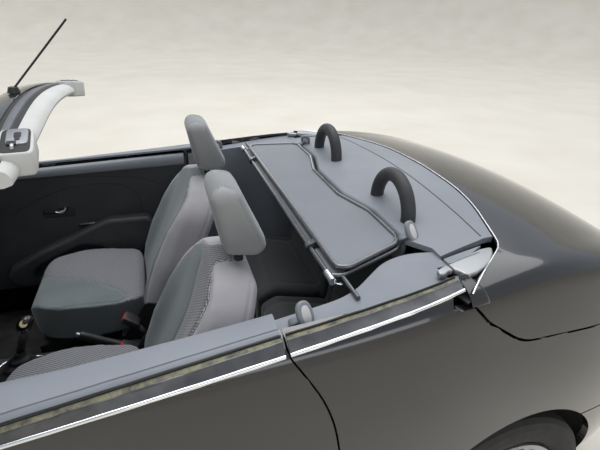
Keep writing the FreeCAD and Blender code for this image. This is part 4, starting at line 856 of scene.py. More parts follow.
def cloth(name, plain, weave_dark, weave_light, edge, edge_rough=0.55):
    """Seat cloth: plain inside the inset, lozenge weave round it and a stitched edge panel."""
    m = new_material(name, plain, 0.8, Sheen_Weight=0.25, Sheen_Roughness=0.5)

    def read(key, output="Fac"):
        return add(m, "ShaderNodeAttribute", attribute_name=key).outputs[output]

    def maths(operation, *values):
        node = add(m, "ShaderNodeMath", operation=operation)
        for socket, value in zip(node.inputs, values):
            if isinstance(value, (int, float)):
                socket.default_value = value
            else:
                link(m, value, socket)
        return node.outputs[0]

    def step(value, at, width=0.0006):
        node = add(m, "ShaderNodeMapRange", interpolation_type="SMOOTHSTEP")
        node.inputs["From Min"].default_value = at - width
        node.inputs["From Max"].default_value = at + width
        link(m, value, node.inputs["Value"])
        return node.outputs["Result"]

    def mixed(fac, a, b):
        node = add(m, "ShaderNodeMix", data_type="RGBA")
        link(m, fac, node.inputs["Factor"])
        for socket, value in ((node.inputs["A"], a), (node.inputs["B"], b)):
            if isinstance(value, tuple):
                socket.default_value = (*value, 1)
            else:
                link(m, value, socket)
        return node.outputs["Result"]

    def toned(fac, colour, low, high):
        return ramp(m, fac, [(0.3, tuple(low * c for c in colour)), (0.7, tuple(high * c for c in colour))])

    split = add(m, "ShaderNodeSeparateXYZ")
    link(m, read("lay", "Vector"), split.inputs[0])
    u, v = split.outputs[0], split.outputs[1]
    a, b = maths("MULTIPLY", u, math.pi / LOZENGE[0]), maths("MULTIPLY", v, math.pi / LOZENGE[1])
    crossing = (maths("SINE", maths(operation, a, b)) for operation in ("ADD", "SUBTRACT"))
    weave = maths("ABSOLUTE", maths("MULTIPLY", *crossing))
    threads = noise(m, 900, 2.0)
    inset, rim = read("inset"), read("rim")
    fine = noise(m, 2500, 2.0)
    tone = noise(m, 9, 4.0)
    past_inset, past_rim = step(inset, 0.0), step(rim, 0.0)
    colour = mixed(past_inset, toned(tone, plain, 0.9, 1.1), mixed(step(weave, 0.32, 0.2), weave_dark, weave_light))
    colour = mixed(past_rim, toned(tone, edge, 0.93, 1.06), colour)
    dash = step(maths("SINE", maths("MULTIPLY", maths("ADD", u, v), 2 * math.pi / STITCH_PITCH)), -0.1, 0.3)
    from_stitch = maths("ABSOLUTE", maths("SUBTRACT", maths("ABSOLUTE", rim), STITCH_INSET))
    stitch = maths("MULTIPLY", maths("SUBTRACT", 1.0, step(from_stitch, 0.0009, 0.0004)), dash)
    colour = mixed(stitch, colour, tuple(min(1, 1.35 * c + 0.05) for c in edge))
    link(m, colour, shader_of(m).inputs["Base Color"])
    spread(m, past_rim, edge_rough, 0.86, "Roughness")
    height = maths("ADD", maths("MULTIPLY", weave, maths("MULTIPLY", past_inset, past_rim)),
                   maths("ADD", maths("MULTIPLY", threads, 0.25), maths("MULTIPLY", fine, 0.12)))
    bump(m, maths("ADD", height, maths("MULTIPLY", stitch, 0.9)), 0.0009, 0.7)
    return m


LOZENGE = (0.0125, 0.0095)
STITCH_PITCH, STITCH_INSET = 0.0065, 0.0042
PLAIN = (0.155, 0.182, 0.186)
CLOTH = cloth("seat_cloth", PLAIN, (0.075, 0.076, 0.082), (0.30, 0.30, 0.32), (0.115, 0.135, 0.138), 0.75)
BACK_CLOTH = cloth("back_cloth", PLAIN, (0.09, 0.092, 0.098), (0.26, 0.262, 0.275), (0.40, 0.385, 0.40))
HEAD_CLOTH = cloth("head_cloth", (0.24, 0.25, 0.255), (0.2, 0.2, 0.21), (0.3, 0.3, 0.31), (0.28, 0.285, 0.29))
REAR_CLOTH = cloth("rear_cloth", (0.05, 0.053, 0.056), (0.03, 0.031, 0.034), (0.085, 0.087, 0.09),
                   (0.045, 0.047, 0.05), 0.8)


def cushion_shape(co, n, way):
    w = co[:, 1] - SEAT_Y * way
    x = co[:, 0]
    up = np.clip(n[:, 2], 0, 1)
    tongue = round_outline([
        (0.26, -0.10), (0.16, -0.02), (0.06, 0.03), (-0.06, 0.10), (-0.135, 0.165), (-0.135, 0.205), (-0.08, 0.222),
        (0.08, 0.226), (0.20, 0.225), (0.30, 0.15), (0.30, 0.0)])
    inset = outline_distance(np.c_[x, w], tongue)
    rim = np.minimum(0.222 - w, 0.245 + w)
    rim = np.minimum(np.where(up > 0.25, rim, -0.02), 0.215 - x)
    crown = 0.010 * np.clip(1 - (w / 0.22) ** 2, 0, 1) * np.clip(1 - (x / 0.2) ** 2, 0, 1)
    inner = crown + groove(inset, 0.0035, 0.007) * (rim > 0.004) + puff(inset, 0.003, 0.03)
    lift = up * inner + groove(rim, 0.0032, 0.006)
    return n * lift[:, None], inset, rim, np.c_[x, w, np.zeros(len(x))]


def back_shape(co, n, way):
    w = co[:, 1] - SEAT_Y * way
    z = co[:, 2]
    face = np.array([math.cos(LEAN), 0, math.sin(LEAN)])
    s = (z - BACK_Z) * math.cos(LEAN) - (co[:, 0] - BACK_X) * math.sin(LEAN)
    ahead = n @ face
    half = np.interp(z, [0.42, 0.70, 0.80, 0.85, 0.90, 0.95, 0.98, 1.0, 1.02],
                     [0.25, 0.25, 0.244, 0.235, 0.22, 0.185, 0.14, 0.07, 0.0])
    if way > 0:
        outline = round_outline([(-0.5, 0.0), (-0.03, 0.05), (-0.01, 0.16), (0.012, 0.26), (0.012, 0.36),
                                 (-0.03, 0.44), (-0.11, 0.52), (-0.5, 0.6)])
    else:
        outline = np.array([(-0.5, -0.1), (0.5, -0.1), (0.5, 0.8), (-0.5, 0.8)])
    inset = outline_distance(np.c_[w, s], outline)
    seam = half - np.abs(w) - np.interp(s, [0, 0.1, 0.3, 0.5], [0.03, 0.045, 0.05, 0.03])
    rim = np.where(ahead > 0.2, seam, -0.03)
    wing = (np.exp(-((np.abs(w) - 0.185) / 0.05) ** 2)
            * np.interp(s, [0, 0.08, 0.2, 0.34, 0.47], [0.1, 0.7, 1, 0.8, 0]))
    belly = -0.006 * np.exp(-(w / 0.1) ** 2)
    front = np.clip(ahead, 0, 1)
    lift = front * (0.03 * wing + belly) + np.clip((ahead + 0.1) * 5, 0, 1) * groove(seam, 0.004, 0.007)
    if way > 0:
        lift += front * (rim > 0.004) * (groove(inset, 0.0035, 0.007) + puff(inset, 0.003, 0.03))
    shell = (co[:, 0] - BACK_X) * math.cos(LEAN) + (z - BACK_Z) * math.sin(LEAN) + 0.098
    lift += (np.abs(n[:, 1]) > 0.4) * groove(shell, 0.003, 0.005)
    moves = face * lift[:, None] * front[:, None] + n * (lift * (1 - front))[:, None]
    return moves, inset, rim, np.c_[w, s, np.zeros(len(s))]


def headrest_shape(co, n, way):
    w = co[:, 1] - SEAT_Y * way
    z = co[:, 2]
    half = np.interp(z, [1.02, 1.12, 1.18, 1.2, 1.22], [0.09, 0.108, 0.1, 0.09, 0.07])
    rim = half - 0.02 - np.abs(w)
    moves = n * (groove(rim, 0.0028, 0.005) + puff(rim, 0.0015, 0.02))[:, None]
    lay = np.c_[co[:, 0] + moves[:, 0], z, w]
    return moves, np.full(len(z), -0.1), np.where(n[:, 0] > -0.2, rim, 0.05), lay


def rear_shape(co, n, _):
    w = np.abs(co[:, 1]) - REAR_SEAT_Y
    z = co[:, 2]
    dish = np.where(z < 0.62, 0.0, -0.02) * np.exp(-(w / 0.14) ** 2) * (n[:, 0] > 0.5)
    rim = 0.205 - np.abs(w)
    moves = n * (dish + groove(rim, 0.004, 0.008))[:, None]
    return moves, np.full(len(z), 0.1), rim, np.c_[w, z + (co[:, 0] + moves[:, 0]), z]


def without_posts(bm):
    """Takes the posts off a headrest and closes its underside."""
    gone = []
    for face in bm.faces:
        c = face.calc_center_median()
        flat = abs(abs(abs(c.y) - SEAT_Y) - POST_SPAN)
        post = c.z < 1.035 and flat < 0.0075 and abs(face.normal.z) < 0.2 and abs(c.x + POST_X) < 0.0078
        if post or c.z < 1.012:
            gone.append(face)
    bmesh.ops.delete(bm, geom=gone, context="FACES")
    bmesh.ops.delete(bm, geom=[v for v in bm.verts if not v.link_faces], context="VERTS")
    bmesh.ops.holes_fill(bm, edges=bm.edges)


def seat_top(y):
    """Height of a seat back's top over a headrest's post."""
    data = NODES["seat_backs"].data
    return max(v.co.z for v in data.vertices if abs(v.co.y - y) < 0.03 and abs(v.co.x + POST_X) < 0.03)


def headrest_posts(way):
    """Bright posts, each with a dark collar on the seat back."""
    for dy in (-POST_SPAN, POST_SPAN):
        y = SEAT_Y * way + dy
        place = "in" if dy * way < 0 else "out"
        line = [(-POST_X, y, z) for z in (0.96, 1.0, 1.06)]
        ride_with(tube(mirror_name("headrest_post_" + place, way), line, 0.006, CHROME), "root")
        collar = solid(mirror_name("post_collar_" + place, way), ellipse(0.0125, 0.0165, 32, 0.7), 0.016, BLACK,
                       Matrix.Translation((-POST_X, y, seat_top(y) + 0.005)), 0.003)
        ride_with(collar, "root")


for way in (1, -1):
    pad("seat_cushions", way, "seat_cushion", CLOTH, 0.005, cushion_shape)
    pad("seat_backs", way, "seat_back", BACK_CLOTH, 0.005, back_shape)
    pad("headrests", way, "headrest", HEAD_CLOTH, 0.004, headrest_shape, 4, without_posts)
    headrest_posts(way)
    pad("rear_seat", way, "rear_seat", REAR_CLOTH, 0.007, rear_shape)


# Details that sit on the CAD pieces

TREES = {}
DOWN = (0, 0, -1)
CABIN_Y = 0.45
SEAM_DEPTH = 0.0012


def tree_of(node):
    if node not in TREES:
        bm = bmesh.new()
        bm.from_mesh(NODES[node].data)
        TREES[node] = BVHTree.FromBMesh(bm)
        bm.free()
    return TREES[node]


def on_node(node, start, way):
    """Where a line from start meets a CAD piece, with the face's direction there."""
    hit, normal, _, _ = tree_of(node).ray_cast(Vector(start), Vector(way).normalized())
    if hit is None:
        return None, None
    return hit, normal if normal.dot(Vector(way)) < 0 else -normal


def below(node, x, y):
    """The highest place of a CAD piece over a place in plan."""
    return on_node(node, (x, y, 1.3), DOWN)[0]


def on_trim(side, way, x, z):
    """The place on a door's trim at x and z, seen from the cabin."""
    return on_node("door_trim_" + side, (x, CABIN_Y * way, z), (0, way, 0))[0]


def spline_path(points, count):
    """A smooth open line through points."""
    p = [Vector(q) for q in points]
    p = [p[0] * 2 - p[1], *p, p[-1] * 2 - p[-2]]
    spans = len(p) - 3
    each = max(2, count // spans)
    return [between(*p[i:i + 4], k / each) for i in range(spans) for k in range(each)] + [p[-2]]


def seam_line(name, node, places, way, width, body, lift, count=40):
    """A thin dark strip on a CAD piece's surface, along places from which it is dropped."""
    path = spline_path(places, count)
    rows = []
    for i, place in enumerate(path):
        hit, normal = on_node(node, place, way)
        if hit is None:
            continue
        along = (path[min(i + 1, len(path) - 1)] - path[max(i - 1, 0)]).normalized()
        side = along.cross(normal).normalized()
        low = hit - normal * SEAM_DEPTH
        high = hit + normal * lift
        rows.append([low - side * width / 2, high - side * (width / 2 - lift / 2),
                     high + side * (width / 2 - lift / 2), low + side * width / 2])
    obj = grid_mesh(name, rows, SEAL, closed=True, caps=True)
    sharp_by_angle(obj, 40)
    return ride_with(obj, body)


def retouched(node, body, name, looks, which):
    """A copy of a CAD piece whose faces take different finishes."""
    data = NODES[node].data.copy()
    dress_data(data, *looks)
    for polygon in data.polygons:
        polygon.material_index = which(polygon)
    obj = bpy.data.objects.new(name, data)
    bpy.context.scene.collection.objects.link(obj)
    return ride_with(obj, body, (node,))


# Wind deflector: gloss tubes round a fine net, hinges and clips

NET = new_material("deflector_net", (0.2, 0.215, 0.24), 0.6)
tint(NET, noise(NET, 5, 4.0), (0.185, 0.2, 0.222), (0.215, 0.23, 0.255))
bump(NET, cells(NET, 1100), 0.0003, 0.8)
GLOSS_TUBE = new_material("gloss_tube", (0.13, 0.135, 0.145), 0.2, 0.75, Coat_Weight=0.8, Coat_Roughness=0.05)
spread(GLOSS_TUBE, noise(GLOSS_TUBE, 20, 4.0), 0.16, 0.3, "Roughness")
TILT = math.radians(5)
PLATE_NORMAL = Vector((math.sin(TILT), 0, math.cos(TILT)))
PLATE_X, PLATE_Z, PLATE_HALF = -0.707, 1.007, 0.58


def net_at(rise):
    """Tells the net of a plate, so far above the lower one, from its tubes."""
    origin = Vector((PLATE_X, 0, PLATE_Z)) + PLATE_NORMAL * rise

    def in_net(polygon):
        level = (polygon.center - origin).dot(PLATE_NORMAL)
        return int(abs(polygon.normal.dot(PLATE_NORMAL)) > 0.995 and abs(level) < 0.0012)

    return in_net


for node, body, rise in (("deflector_base", "root", 0.0), ("deflector_flap", "deflector_flap", 0.017)):
    retouched(node, body, node.replace("deflector", "wind_frame"), [GLOSS_TUBE, NET], net_at(rise))
for way in (1, -1):
    corner = Vector((PLATE_X, PLATE_HALF * way, PLATE_Z))
    for name, line, radius in (
        ("deflector_hinge", [(0.004, d, 0.004) for d in (-0.03, -0.01, 0.006, 0.014)], 0.0105),
        ("deflector_clip", [(0.0, 0.012, 0.0), (-0.004, 0.024, 0.003), (-0.014, 0.03, 0.002),
                            (-0.022, 0.022, -0.002), (-0.016, 0.012, -0.004)], 0.0017),
    ):
        bar = tube(mirror_name(name, way), [corner + Vector(p) for p in flip(line, way)], radius, CHROME)
        ride_with(bar, "root")


# Rear deck: its joints and the guides for the belts

def belt_guide(name, way, node, x, y, turn):
    """A ring with a light mouth, held on an arm over a CAD piece."""
    hit = below(node, x, y * way)
    if hit is None:
        return
    lean = turned(hit + Vector((0, 0, 0.016)), math.radians(turn) * way, math.radians(-58 * way))
    ring = solid(mirror_name(name, way), ellipse(0.021, 0.032, 40, 0.85), 0.014, GREY, lean, 0.005, 4)
    ride_with(ring, "root")
    eye = solid(mirror_name(name + "_mouth", way), ellipse(0.012, 0.022, 32, 0.85), 0.0152, LIGHT, lean, 0.002, 2)
    ride_with(eye, "root")
    line = [hit + Vector(p) for p in flip([(0.035, -0.004, -0.004), (0.02, 0, 0.004), (0.0, 0.002, 0.01)], way)]
    arm = loft(mirror_name(name + "_arm", way), line, oval((0.013, -0.004), (0.005, 0), 20), GREY)
    ride_with(arm, "root")


for way in (1, -1):
    joint = flip([(-1.19, 0.0, 1.2), (-1.187, 0.142, 1.2), (-1.175, 0.38, 1.2), (-1.161, 0.545, 1.2)], way)
    seam_line(mirror_name("deck_joint", way), "rear_deck", joint, DOWN, 0.0045, "root", 0.0004)
    belt_guide("rear_belt_guide", way, "rear_deck", -0.977, 0.482, 25)
    belt_guide("front_belt_guide", way, "quarter_trims", -0.60, 0.69, 20)


# Door linings: seams, handle and switch

DOOR_SEAMS = (
    ("door_inset_seam_", 0.0035, 0.0005, [
        (0.33, 0.74), (0.24, 0.79), (0.13, 0.832), (0.03, 0.851), (-0.07, 0.853), (-0.155, 0.835), (-0.205, 0.79),
        (-0.218, 0.745), (-0.21, 0.70)]),
    ("door_card_seam_", 0.003, 0.0004, [
        (0.62, 0.885), (0.40, 0.892), (0.20, 0.897), (0.0, 0.894), (-0.19, 0.875), (-0.30, 0.84), (-0.36, 0.80),
        (-0.40, 0.72)]),
)
HANDLE = (0.168, 0.742)
SWITCH = (0.03, 0.655)


def door_handle(way, side, place):
    """A bright ring in a dark cup, with a lever across it."""
    door = "door_" + side
    cup = facing(place + Vector((0, -0.001 * way, 0)), (0, -way, 0))
    well = solid("door_handle_cup_" + side, ellipse(0.062, 0.03, 48, 0.75), 0.006, SEAL, cup, 0.002)
    ride_with(well, door)
    bpy.ops.mesh.primitive_torus_add(major_radius=0.026, minor_radius=0.0075, major_segments=48, minor_segments=16)
    ring = bpy.context.object
    ring.name = "door_handle_ring_" + side
    ring.data.transform(Matrix.Diagonal((1, 1, 0.7, 1)))
    ring.matrix_world = facing(place + Vector((-0.022, -0.006 * way, 0.006)), (0, -way, 0.1))
    dress(ring, CHROME)
    smooth_faces(ring.data)
    ride_with(ring, door)
    line = flip([(0.052, -0.008, -0.006), (0.03, -0.012, -0.003), (0.0, -0.014, 0.001),
                 (-0.022, -0.013, 0.005)], way)
    lever = loft("door_handle_lever_" + side, [place + Vector(p) for p in line],
                 oval((0.0045, 0), (0.0085, 0.006), 24, 0.8), DARK)
    ride_with(bevelled(lever, 0.001), door)


for way, side in SIDES:
    for name, width, lift, line in DOOR_SEAMS:
        seam_line(name + side, "door_trim_" + side, [(x, CABIN_Y * way, z) for x, z in line], (0, way, 0), width,
                  "door_" + side, lift, 64)
    place = on_trim(side, way, *HANDLE)
    if place is not None:
        door_handle(way, side, place)
    place = on_trim(side, way, *SWITCH)
    if place is not None:
        plate = facing(place + Vector((0.0, -0.002 * way, 0)), (0, -way, 0.25))
        switch = solid("window_switch_" + side, ellipse(0.045, 0.011, 40, 0.6), 0.007, PIANO, plate, 0.002)
        ride_with(switch, "door_" + side)


# Console: gear lever, handbrake, belt buckles

LEATHER = rubber("boot_leather", (0.012, 0.012, 0.013), (0.022, 0.022, 0.023), 0.5)
GOLD = metal("pale_gold", (0.83, 0.66, 0.36), 0.3, 0.1)
RED = plastic("buckle_red", (0.5, 0.02, 0.03), (0.62, 0.04, 0.05), 0.35)
GEAR_X, KNOB_X, KNOB_Z = 0.227, 0.176, 0.606
BRAKE_Y = -0.02


def gear_lever():
    """A folded leather boot in a bright surround, the stick and a gloss knob with a pale gold disc."""
    rows = []
    for t in (k / 28 for k in range(29)):
        folds = 0.0035 * math.sin(t * math.pi * 7) * (1 - t) ** 0.5
        rx, ry = (wide * (1 - t) ** 1.25 + 0.0135 + folds for wide in (0.066, 0.05))
        rows.append(ring_of((GEAR_X - 0.012 * t, 0, 0.412 + 0.085 * t), rx, ry, 40, 0.75 + 0.25 * t))
    boot = grid_mesh("gear_boot", rows, LEATHER, closed=True, caps=True)
    ride_with(boot, "root", ("gear_lever",))
    stick = loft("gear_stick", [(0.216, 0, 0.49), (0.2, 0, 0.53), (0.186, 0, 0.572)],
                 oval((0.0135, 0.001), (0.0135, 0.001), 28), BLACK)
    ride_with(stick, "root")
    rows = []
    for turn in (math.pi * k / 20 for k in range(21)):
        r = 0.0265 * math.sin(turn) ** 0.85 * (1.0 if turn < 1.6 else 1 - 0.12 * (turn - 1.6))
        height = 0.032 * math.cos(turn)
        rows.append(ring_of((KNOB_X - 0.35 * height, 0, KNOB_Z + height), max(r, 0.0002), max(r, 0.0002), 36))
    ride_with(grid_mesh("gear_knob", rows, PIANO, closed=True, caps=True), "root")
    disc_place = facing((KNOB_X - 0.0035, 0.0205, 0.6225), (-0.1, 0.75, 0.66))
    ride_with(solid("gear_knob_disc", ellipse(0.0125, 0.0125, 40), 0.004, GOLD, disc_place, 0.001), "root")
    line = ring_of((GEAR_X, 0, 0.4135), 0.079, 0.064, 56, 0.6)
    ride_with(tube("gear_surround", line, 0.0035, CHROME, closed=True), "root")


def handbrake():
    """A grip with a metal button, in a leather sleeve."""
    line = [(-0.14, 0.428), (-0.10, 0.44), (-0.05, 0.468), (0.0, 0.5), (0.022, 0.512)]
    grip = loft("handbrake_grip", [(x, BRAKE_Y, z) for x, z in line],
                lambda t: [(a * (0.0155 - 0.002 * t + 0.0015 * math.sin(9 * t)), b * (0.018 - 0.003 * t))
                           for a, b in ellipse(1, 1, 28, 0.9)], BLACK)
    ride_with(bevelled(grip, 0.002), "root", ("handbrake",))
    line = [(0.018, BRAKE_Y, 0.5095), (0.026, BRAKE_Y, 0.514), (0.032, BRAKE_Y, 0.5175)]
    ride_with(tube("handbrake_button", line, 0.0075, SATIN), "root")
    rows = [ring_of((-0.145 + 0.05 * t, BRAKE_Y, 0.409 + 0.03 * t), 0.042 - 0.024 * t, 0.034 - 0.014 * t, 32, 0.8)
            for t in (k / 8 for k in range(9))]
    ride_with(grid_mesh("handbrake_sleeve", rows, LEATHER, closed=True, caps=True), "root")


gear_lever()
handbrake()
for way, side in SIDES:
    name = "buckle_" + side
    place = Vector((-0.155, 0.082 * way, 0.497))
    lean = turned(place, math.radians(12 * way), math.radians(58), "Y")
    case = solid(name, ellipse(0.0155, 0.027, 36, 0.35), 0.062, BLACK, lean, 0.004, 3)
    ride_with(case, "root")
    button = solid(name + "_button", ellipse(0.0095, 0.02, 32, 0.35), 0.005, RED,
                   lean @ Matrix.Translation((0, 0, 0.0315)), 0.001)
    ride_with(button, "root")
    line = [place + Vector(q) for q in ((-0.02, 0, -0.03), (-0.045, 0, -0.07), (-0.06, 0, -0.11))]
    ride_with(loft(name + "_stem", line, oval((0.006, 0), (0.011, 0), 20, 0.6), BLACK), "root")


# Header: its painted top, the two seals for the roof, the light lining and the latches

SEAL_GREY = rubber("seal_grey", (0.12, 0.125, 0.14), (0.15, 0.155, 0.17), 0.5)
HEADER_BANDS = (
    ((0.0003, -0.002), (-0.004, 0.0), (-0.024, 0.0025), (-0.043, 0.003), (-0.046, 0.0015)),
    ((-0.0465, -0.003), (-0.05, -0.0042), (-0.056, -0.0042)),
    ((-0.0568, -0.001), (-0.062, 0.0012), (-0.07, 0.0012), (-0.075, -0.0005)),
    ((-0.0765, -0.0045), (-0.082, -0.0065), (-0.09, -0.0075)),
    ((-0.0915, -0.0035), (-0.1, -0.0045), (-0.115, -0.009), (-0.126, -0.017), (-0.1305, -0.027), (-0.128, -0.034),
     (-0.1, -0.04), (-0.071, -0.0405), (0.0003, -0.038)),
)
HEADER_LOOKS = (PAINT, SEAL, SEAL_GREY, SEAL, LIGHT)
LINING = len(HEADER_LOOKS) - 1
HEADER_HALF, HEADER_BOW, HEADER_SAG = 0.512, 0.045, 0.052
LATCH_Y = 0.4


def header_point(share, a, b):
    """A place on the header: share runs from -1 to 1 across it, a and b are the profile's offsets."""
    narrow = 1 - 0.42 * abs(share) ** 3
    return (0.07 - HEADER_BOW * share ** 2 + a * narrow, HEADER_HALF * share, 1.375 - HEADER_SAG * share ** 2 + b)


def header_shell():
    profile = [p for band in HEADER_BANDS for p in band]
    owner = [i for i, band in enumerate(HEADER_BANDS) for _ in band]
    rows = [[header_point(s, a, b) for a, b in profile] for s in np.linspace(-1, 1, 57)]
    shell = grid_mesh("header_shell", rows, PAINT, closed=True, caps=True)
    dress_data(shell.data, *HEADER_LOOKS)
    for polygon in shell.data.polygons:
        columns = [v % len(profile) for v in polygon.vertices]
        first = min(columns) if max(columns) - min(columns) < 3 else max(columns)
        is_end = len(columns) > 4 or first == len(profile) - 1
        polygon.material_index = LINING if is_end else owner[first]
    sharp_by_angle(shell, 35)
    ride_with(shell, "root", ("roof_header",))


def roof_latch(way):
    """A light case whose open top carries a near-black disc of painted shade, a metal plate whose three holes are
    near-black discs of painted shade, and a hook.
    """
    share = LATCH_Y / HEADER_HALF
    slope, skew = (math.atan2(2 * bend * share, HEADER_HALF) for bend in (HEADER_SAG, HEADER_BOW))
    rear = Vector(header_point(share * way, -0.122, -0.004))
    latch = turned(rear + Vector((0.012, 0, -0.016)), skew * way, -slope * way)
    lid_at = latch @ Matrix.Translation((0, 0, 0.0245))
    plate_at = lid_at @ Matrix.Translation((-0.003, -0.014 * way, 0.002))
    pieces = [
        ("case", (0.034, 0.066, 48, 0.3), 0.052, LIGHT, latch, 0.005, "light_trim"),
        # painted shade: the near-black well disc stands for the shadowed inside of the case's open top, though it
        # is listed as black_plastic
        ("well", (0.028, 0.06, 40, 0.3), 0.005, SEAL, lid_at, 0.001, "black_plastic"),
        ("plate", (0.021, 0.04, 40, 0.35), 0.008, STEEL, plate_at, 0.002, "steel"),
    ]
    # painted shade: each of the three holes is a near-black disc laid on the plate, though it is listed as
    # black_plastic
    for x, y, a, b in ((-0.004, -0.004, 0.007, 0.014), (-0.004, 0.016, 0.005, 0.008), (0.006, 0.034, 0.009, 0.009)):
        hole_at = lid_at @ Matrix.Translation((x, y * way - 0.014 * way, 0.002))
        pieces.append(("hole", (a, b, 24, 0.4), 0.0095, SEAL, hole_at, 0.0006, "black_plastic"))
    for name, shape, depth, look, place, edge, slot in pieces:
        piece = solid(mirror_name("latch_" + name, way), ellipse(*shape), depth, look, place, edge)
        ride_with(piece, "root")
    line = [lid_at @ Vector((0.004, 0.036 * way + d * way, h)) for d, h in (
        (-0.008, 0.0), (-0.006, 0.008), (0.004, 0.01), (0.008, 0.002))]
    ride_with(tube(mirror_name("latch_hook", way), line, 0.0038, SATIN), "root")


header_shell()
for way in (1, -1):
    roof_latch(way)


# The pillars' inner sides carry the light lining too

def pillar_face(polygon):
    c, n = polygon.center, polygon.normal
    inner = (n.x < -0.35 and n.z < 0.45) or (n.y * c.y < -0.004 and n.x < 0.3)
    return int(c.z >= 0.98 and inner)


retouched("windscreen_frame", "root", "screen_frame", [PAINT, LIGHT], pillar_face)


# The openings in the rear deck at the boot lid's front corners, with the hinge flaps inside them

FLAP = metal("flap_silver", (0.42, 0.43, 0.44), 0.45, 0.12)
SLOT = [(-0.941, 0.612), (-1.139, 0.563), (-1.16, 0.556), (-1.19, 0.553), (-1.215, 0.565), (-1.205, 0.59),
        (-1.177, 0.62), (-1.133, 0.665), (-1.08, 0.705), (-0.975, 0.76), (-0.96, 0.70), (-0.99, 0.66),
        (-1.06, 0.625), (-1.12, 0.592), (-1.13, 0.587), (-0.939, 0.623)]
# outline of the near-black sheet of painted shade set under the deck's opening
SHADED_WELL = SLOT[2:12]
FLAP_EDGE = [(-1.121, 0.597), (-1.149, 0.594), (-1.158, 0.6), (-1.138, 0.629), (-1.106, 0.659), (-1.074, 0.68),
             (-1.04, 0.696), (-1.013, 0.702), (-1.002, 0.695), (-0.998, 0.679), (-0.99, 0.674), (-0.99, 0.645),
             (-1.03, 0.63), (-1.08, 0.612)]
FOOT_EDGE = [(-0.986, 0.675), (-0.976, 0.672), (-0.958, 0.684), (-0.942, 0.682), (-0.945, 0.664), (-0.969, 0.652),
             (-0.986, 0.647)]
# line of the darker steel ridge that paints the shadow stripe across the flap
FLAP_SHADOW_LINE = [(-1.105, 0.614), (-1.07, 0.622), (-1.026, 0.634), (-0.994, 0.646)]


def lid_front(way):
    """The front edge of the boot lid seen from above, from the middle outwards."""
    out = []
    for y in np.linspace(0.0, 0.75, 76):
        for x in np.arange(-0.96, -1.34, -0.0015):
            hit, normal = on_node("boot_lid", (x, y * way, 1.3), DOWN)
            if hit is not None and normal.z > 0.5 and hit.z > 0.95:
                if not out or (hit - out[-1]).length < 0.06:
                    out.append(hit)
                break
    return out


def cut_from(obj, outline, low, high):
    """Cuts a prism, given by its outline in plan, from a mesh."""
    cutter = solid("cutter", outline, high - low, SEAL, Matrix.Translation((0, 0, (low + high) / 2)))
    opening = obj.modifiers.new("opening", "BOOLEAN")
    opening.operation = "DIFFERENCE"
    opening.solver = "EXACT"
    opening.object = cutter
    data = bpy.data.meshes.new_from_object(obj.evaluated_get(bpy.context.evaluated_depsgraph_get()))
    obj.modifiers.clear()
    obj.data = data
    bpy.data.objects.remove(cutter)


def level_solid(name, way, outline, depth, look, z, edge, segments=3):
    """A level plate from its outline in plan on the left side."""
    return solid(mirror_name(name, way), flip_plan(outline, way), depth, look, Matrix.Translation((0, 0, z)), edge,
                 segments)


def hinge_flap(way):
    """The silver flap and its foot, a darker steel ridge on the flap that paints its shadow stripe, a near-black
    sheet of painted shade in the opening under it, and a chrome bead that paints the highlight along the lid's
    front edge.
    """
    hit = below("rear_deck", -1.02, 0.58 * way)
    level = hit.z if hit is not None else 1.045
    ride_with(level_solid("hinge_flap", way, FLAP_EDGE, 0.016, FLAP, level - 0.004, 0.0055, 4), "boot_lid")
    ride_with(level_solid("flap_foot", way, FOOT_EDGE, 0.016, FLAP, level - 0.004, 0.005, 4), "root")
    line = flip([(x, y, level + 0.0038) for x, y in FLAP_SHADOW_LINE], way)
    # painted shadow: a darker steel ridge along the flap stands for its shadow stripe
    ride_with(tube(mirror_name("flap_shadow_stripe", way), line, 0.0022, STEEL), "boot_lid")
    # painted shade: a near-black sheet under the opening stands for the shade inside it
    ride_with(level_solid("flap_well_shade_sheet", way, SHADED_WELL, 0.004, SEAL, level - 0.036, 0.0), "root")
    # painted highlight: a chrome bead along the lid's front edge stands for the bright line its painted edge
    # catches, partly rendered reflection and partly painted highlight
    line = [p + Vector((0.0005, 0, 0.0004)) for p in lid_front(way)]
    if line:
        ride_with(tube(mirror_name("lid_edge_highlight", way), line, 0.0024, CHROME), "boot_lid")


deck = bpy.data.objects.new("rear_shelf", NODES["rear_deck"].data.copy())
bpy.context.scene.collection.objects.link(deck)
dress(deck, GREY)
for way in (1, -1):
    cut_from(deck, flip_plan(SLOT, way), 0.99, 1.1)
sharp_by_angle(deck, 30)
ride_with(deck, "root", ("rear_deck",))
for way in (1, -1):
    hinge_flap(way)


# The lid's front corners reach forward to its pins, over the room that they sweep

LID_AXIS = (-0.988, 1.0)
CORNER_REACH = 0.0515
CORNER_INNER = 0.701


def lid_corner(way):
    rows = []
    for r in np.linspace(0.0, CORNER_REACH, 12):
        row = []
        for t in np.linspace(math.pi / 2 - 0.08, math.pi, 20):
            x, z = LID_AXIS[0] + r * math.cos(t), LID_AXIS[1] + r * math.sin(t)
            section = form_row(x)
            section = section[section[:, 2] > 0.6]
            order = np.argsort(section[:, 2])
            y = float(np.interp(z, section[order, 2], section[order, 1]))
            row.append((x, (max(y, CORNER_INNER) - 0.0008) * way, min(z, section[:, 2].max() - 0.003)))
        rows.append(row)
    corner = grid_mesh(mirror_name("lid_corner", way), rows, PAINT)
    weld(corner)
    wall = corner.modifiers.new("wall", "SOLIDIFY")
    wall.thickness = 0.0016
    wall.offset = 0
    ride_with(corner, "boot_lid")


for way in (1, -1):
    lid_corner(way)


# The grey face under each door's cap

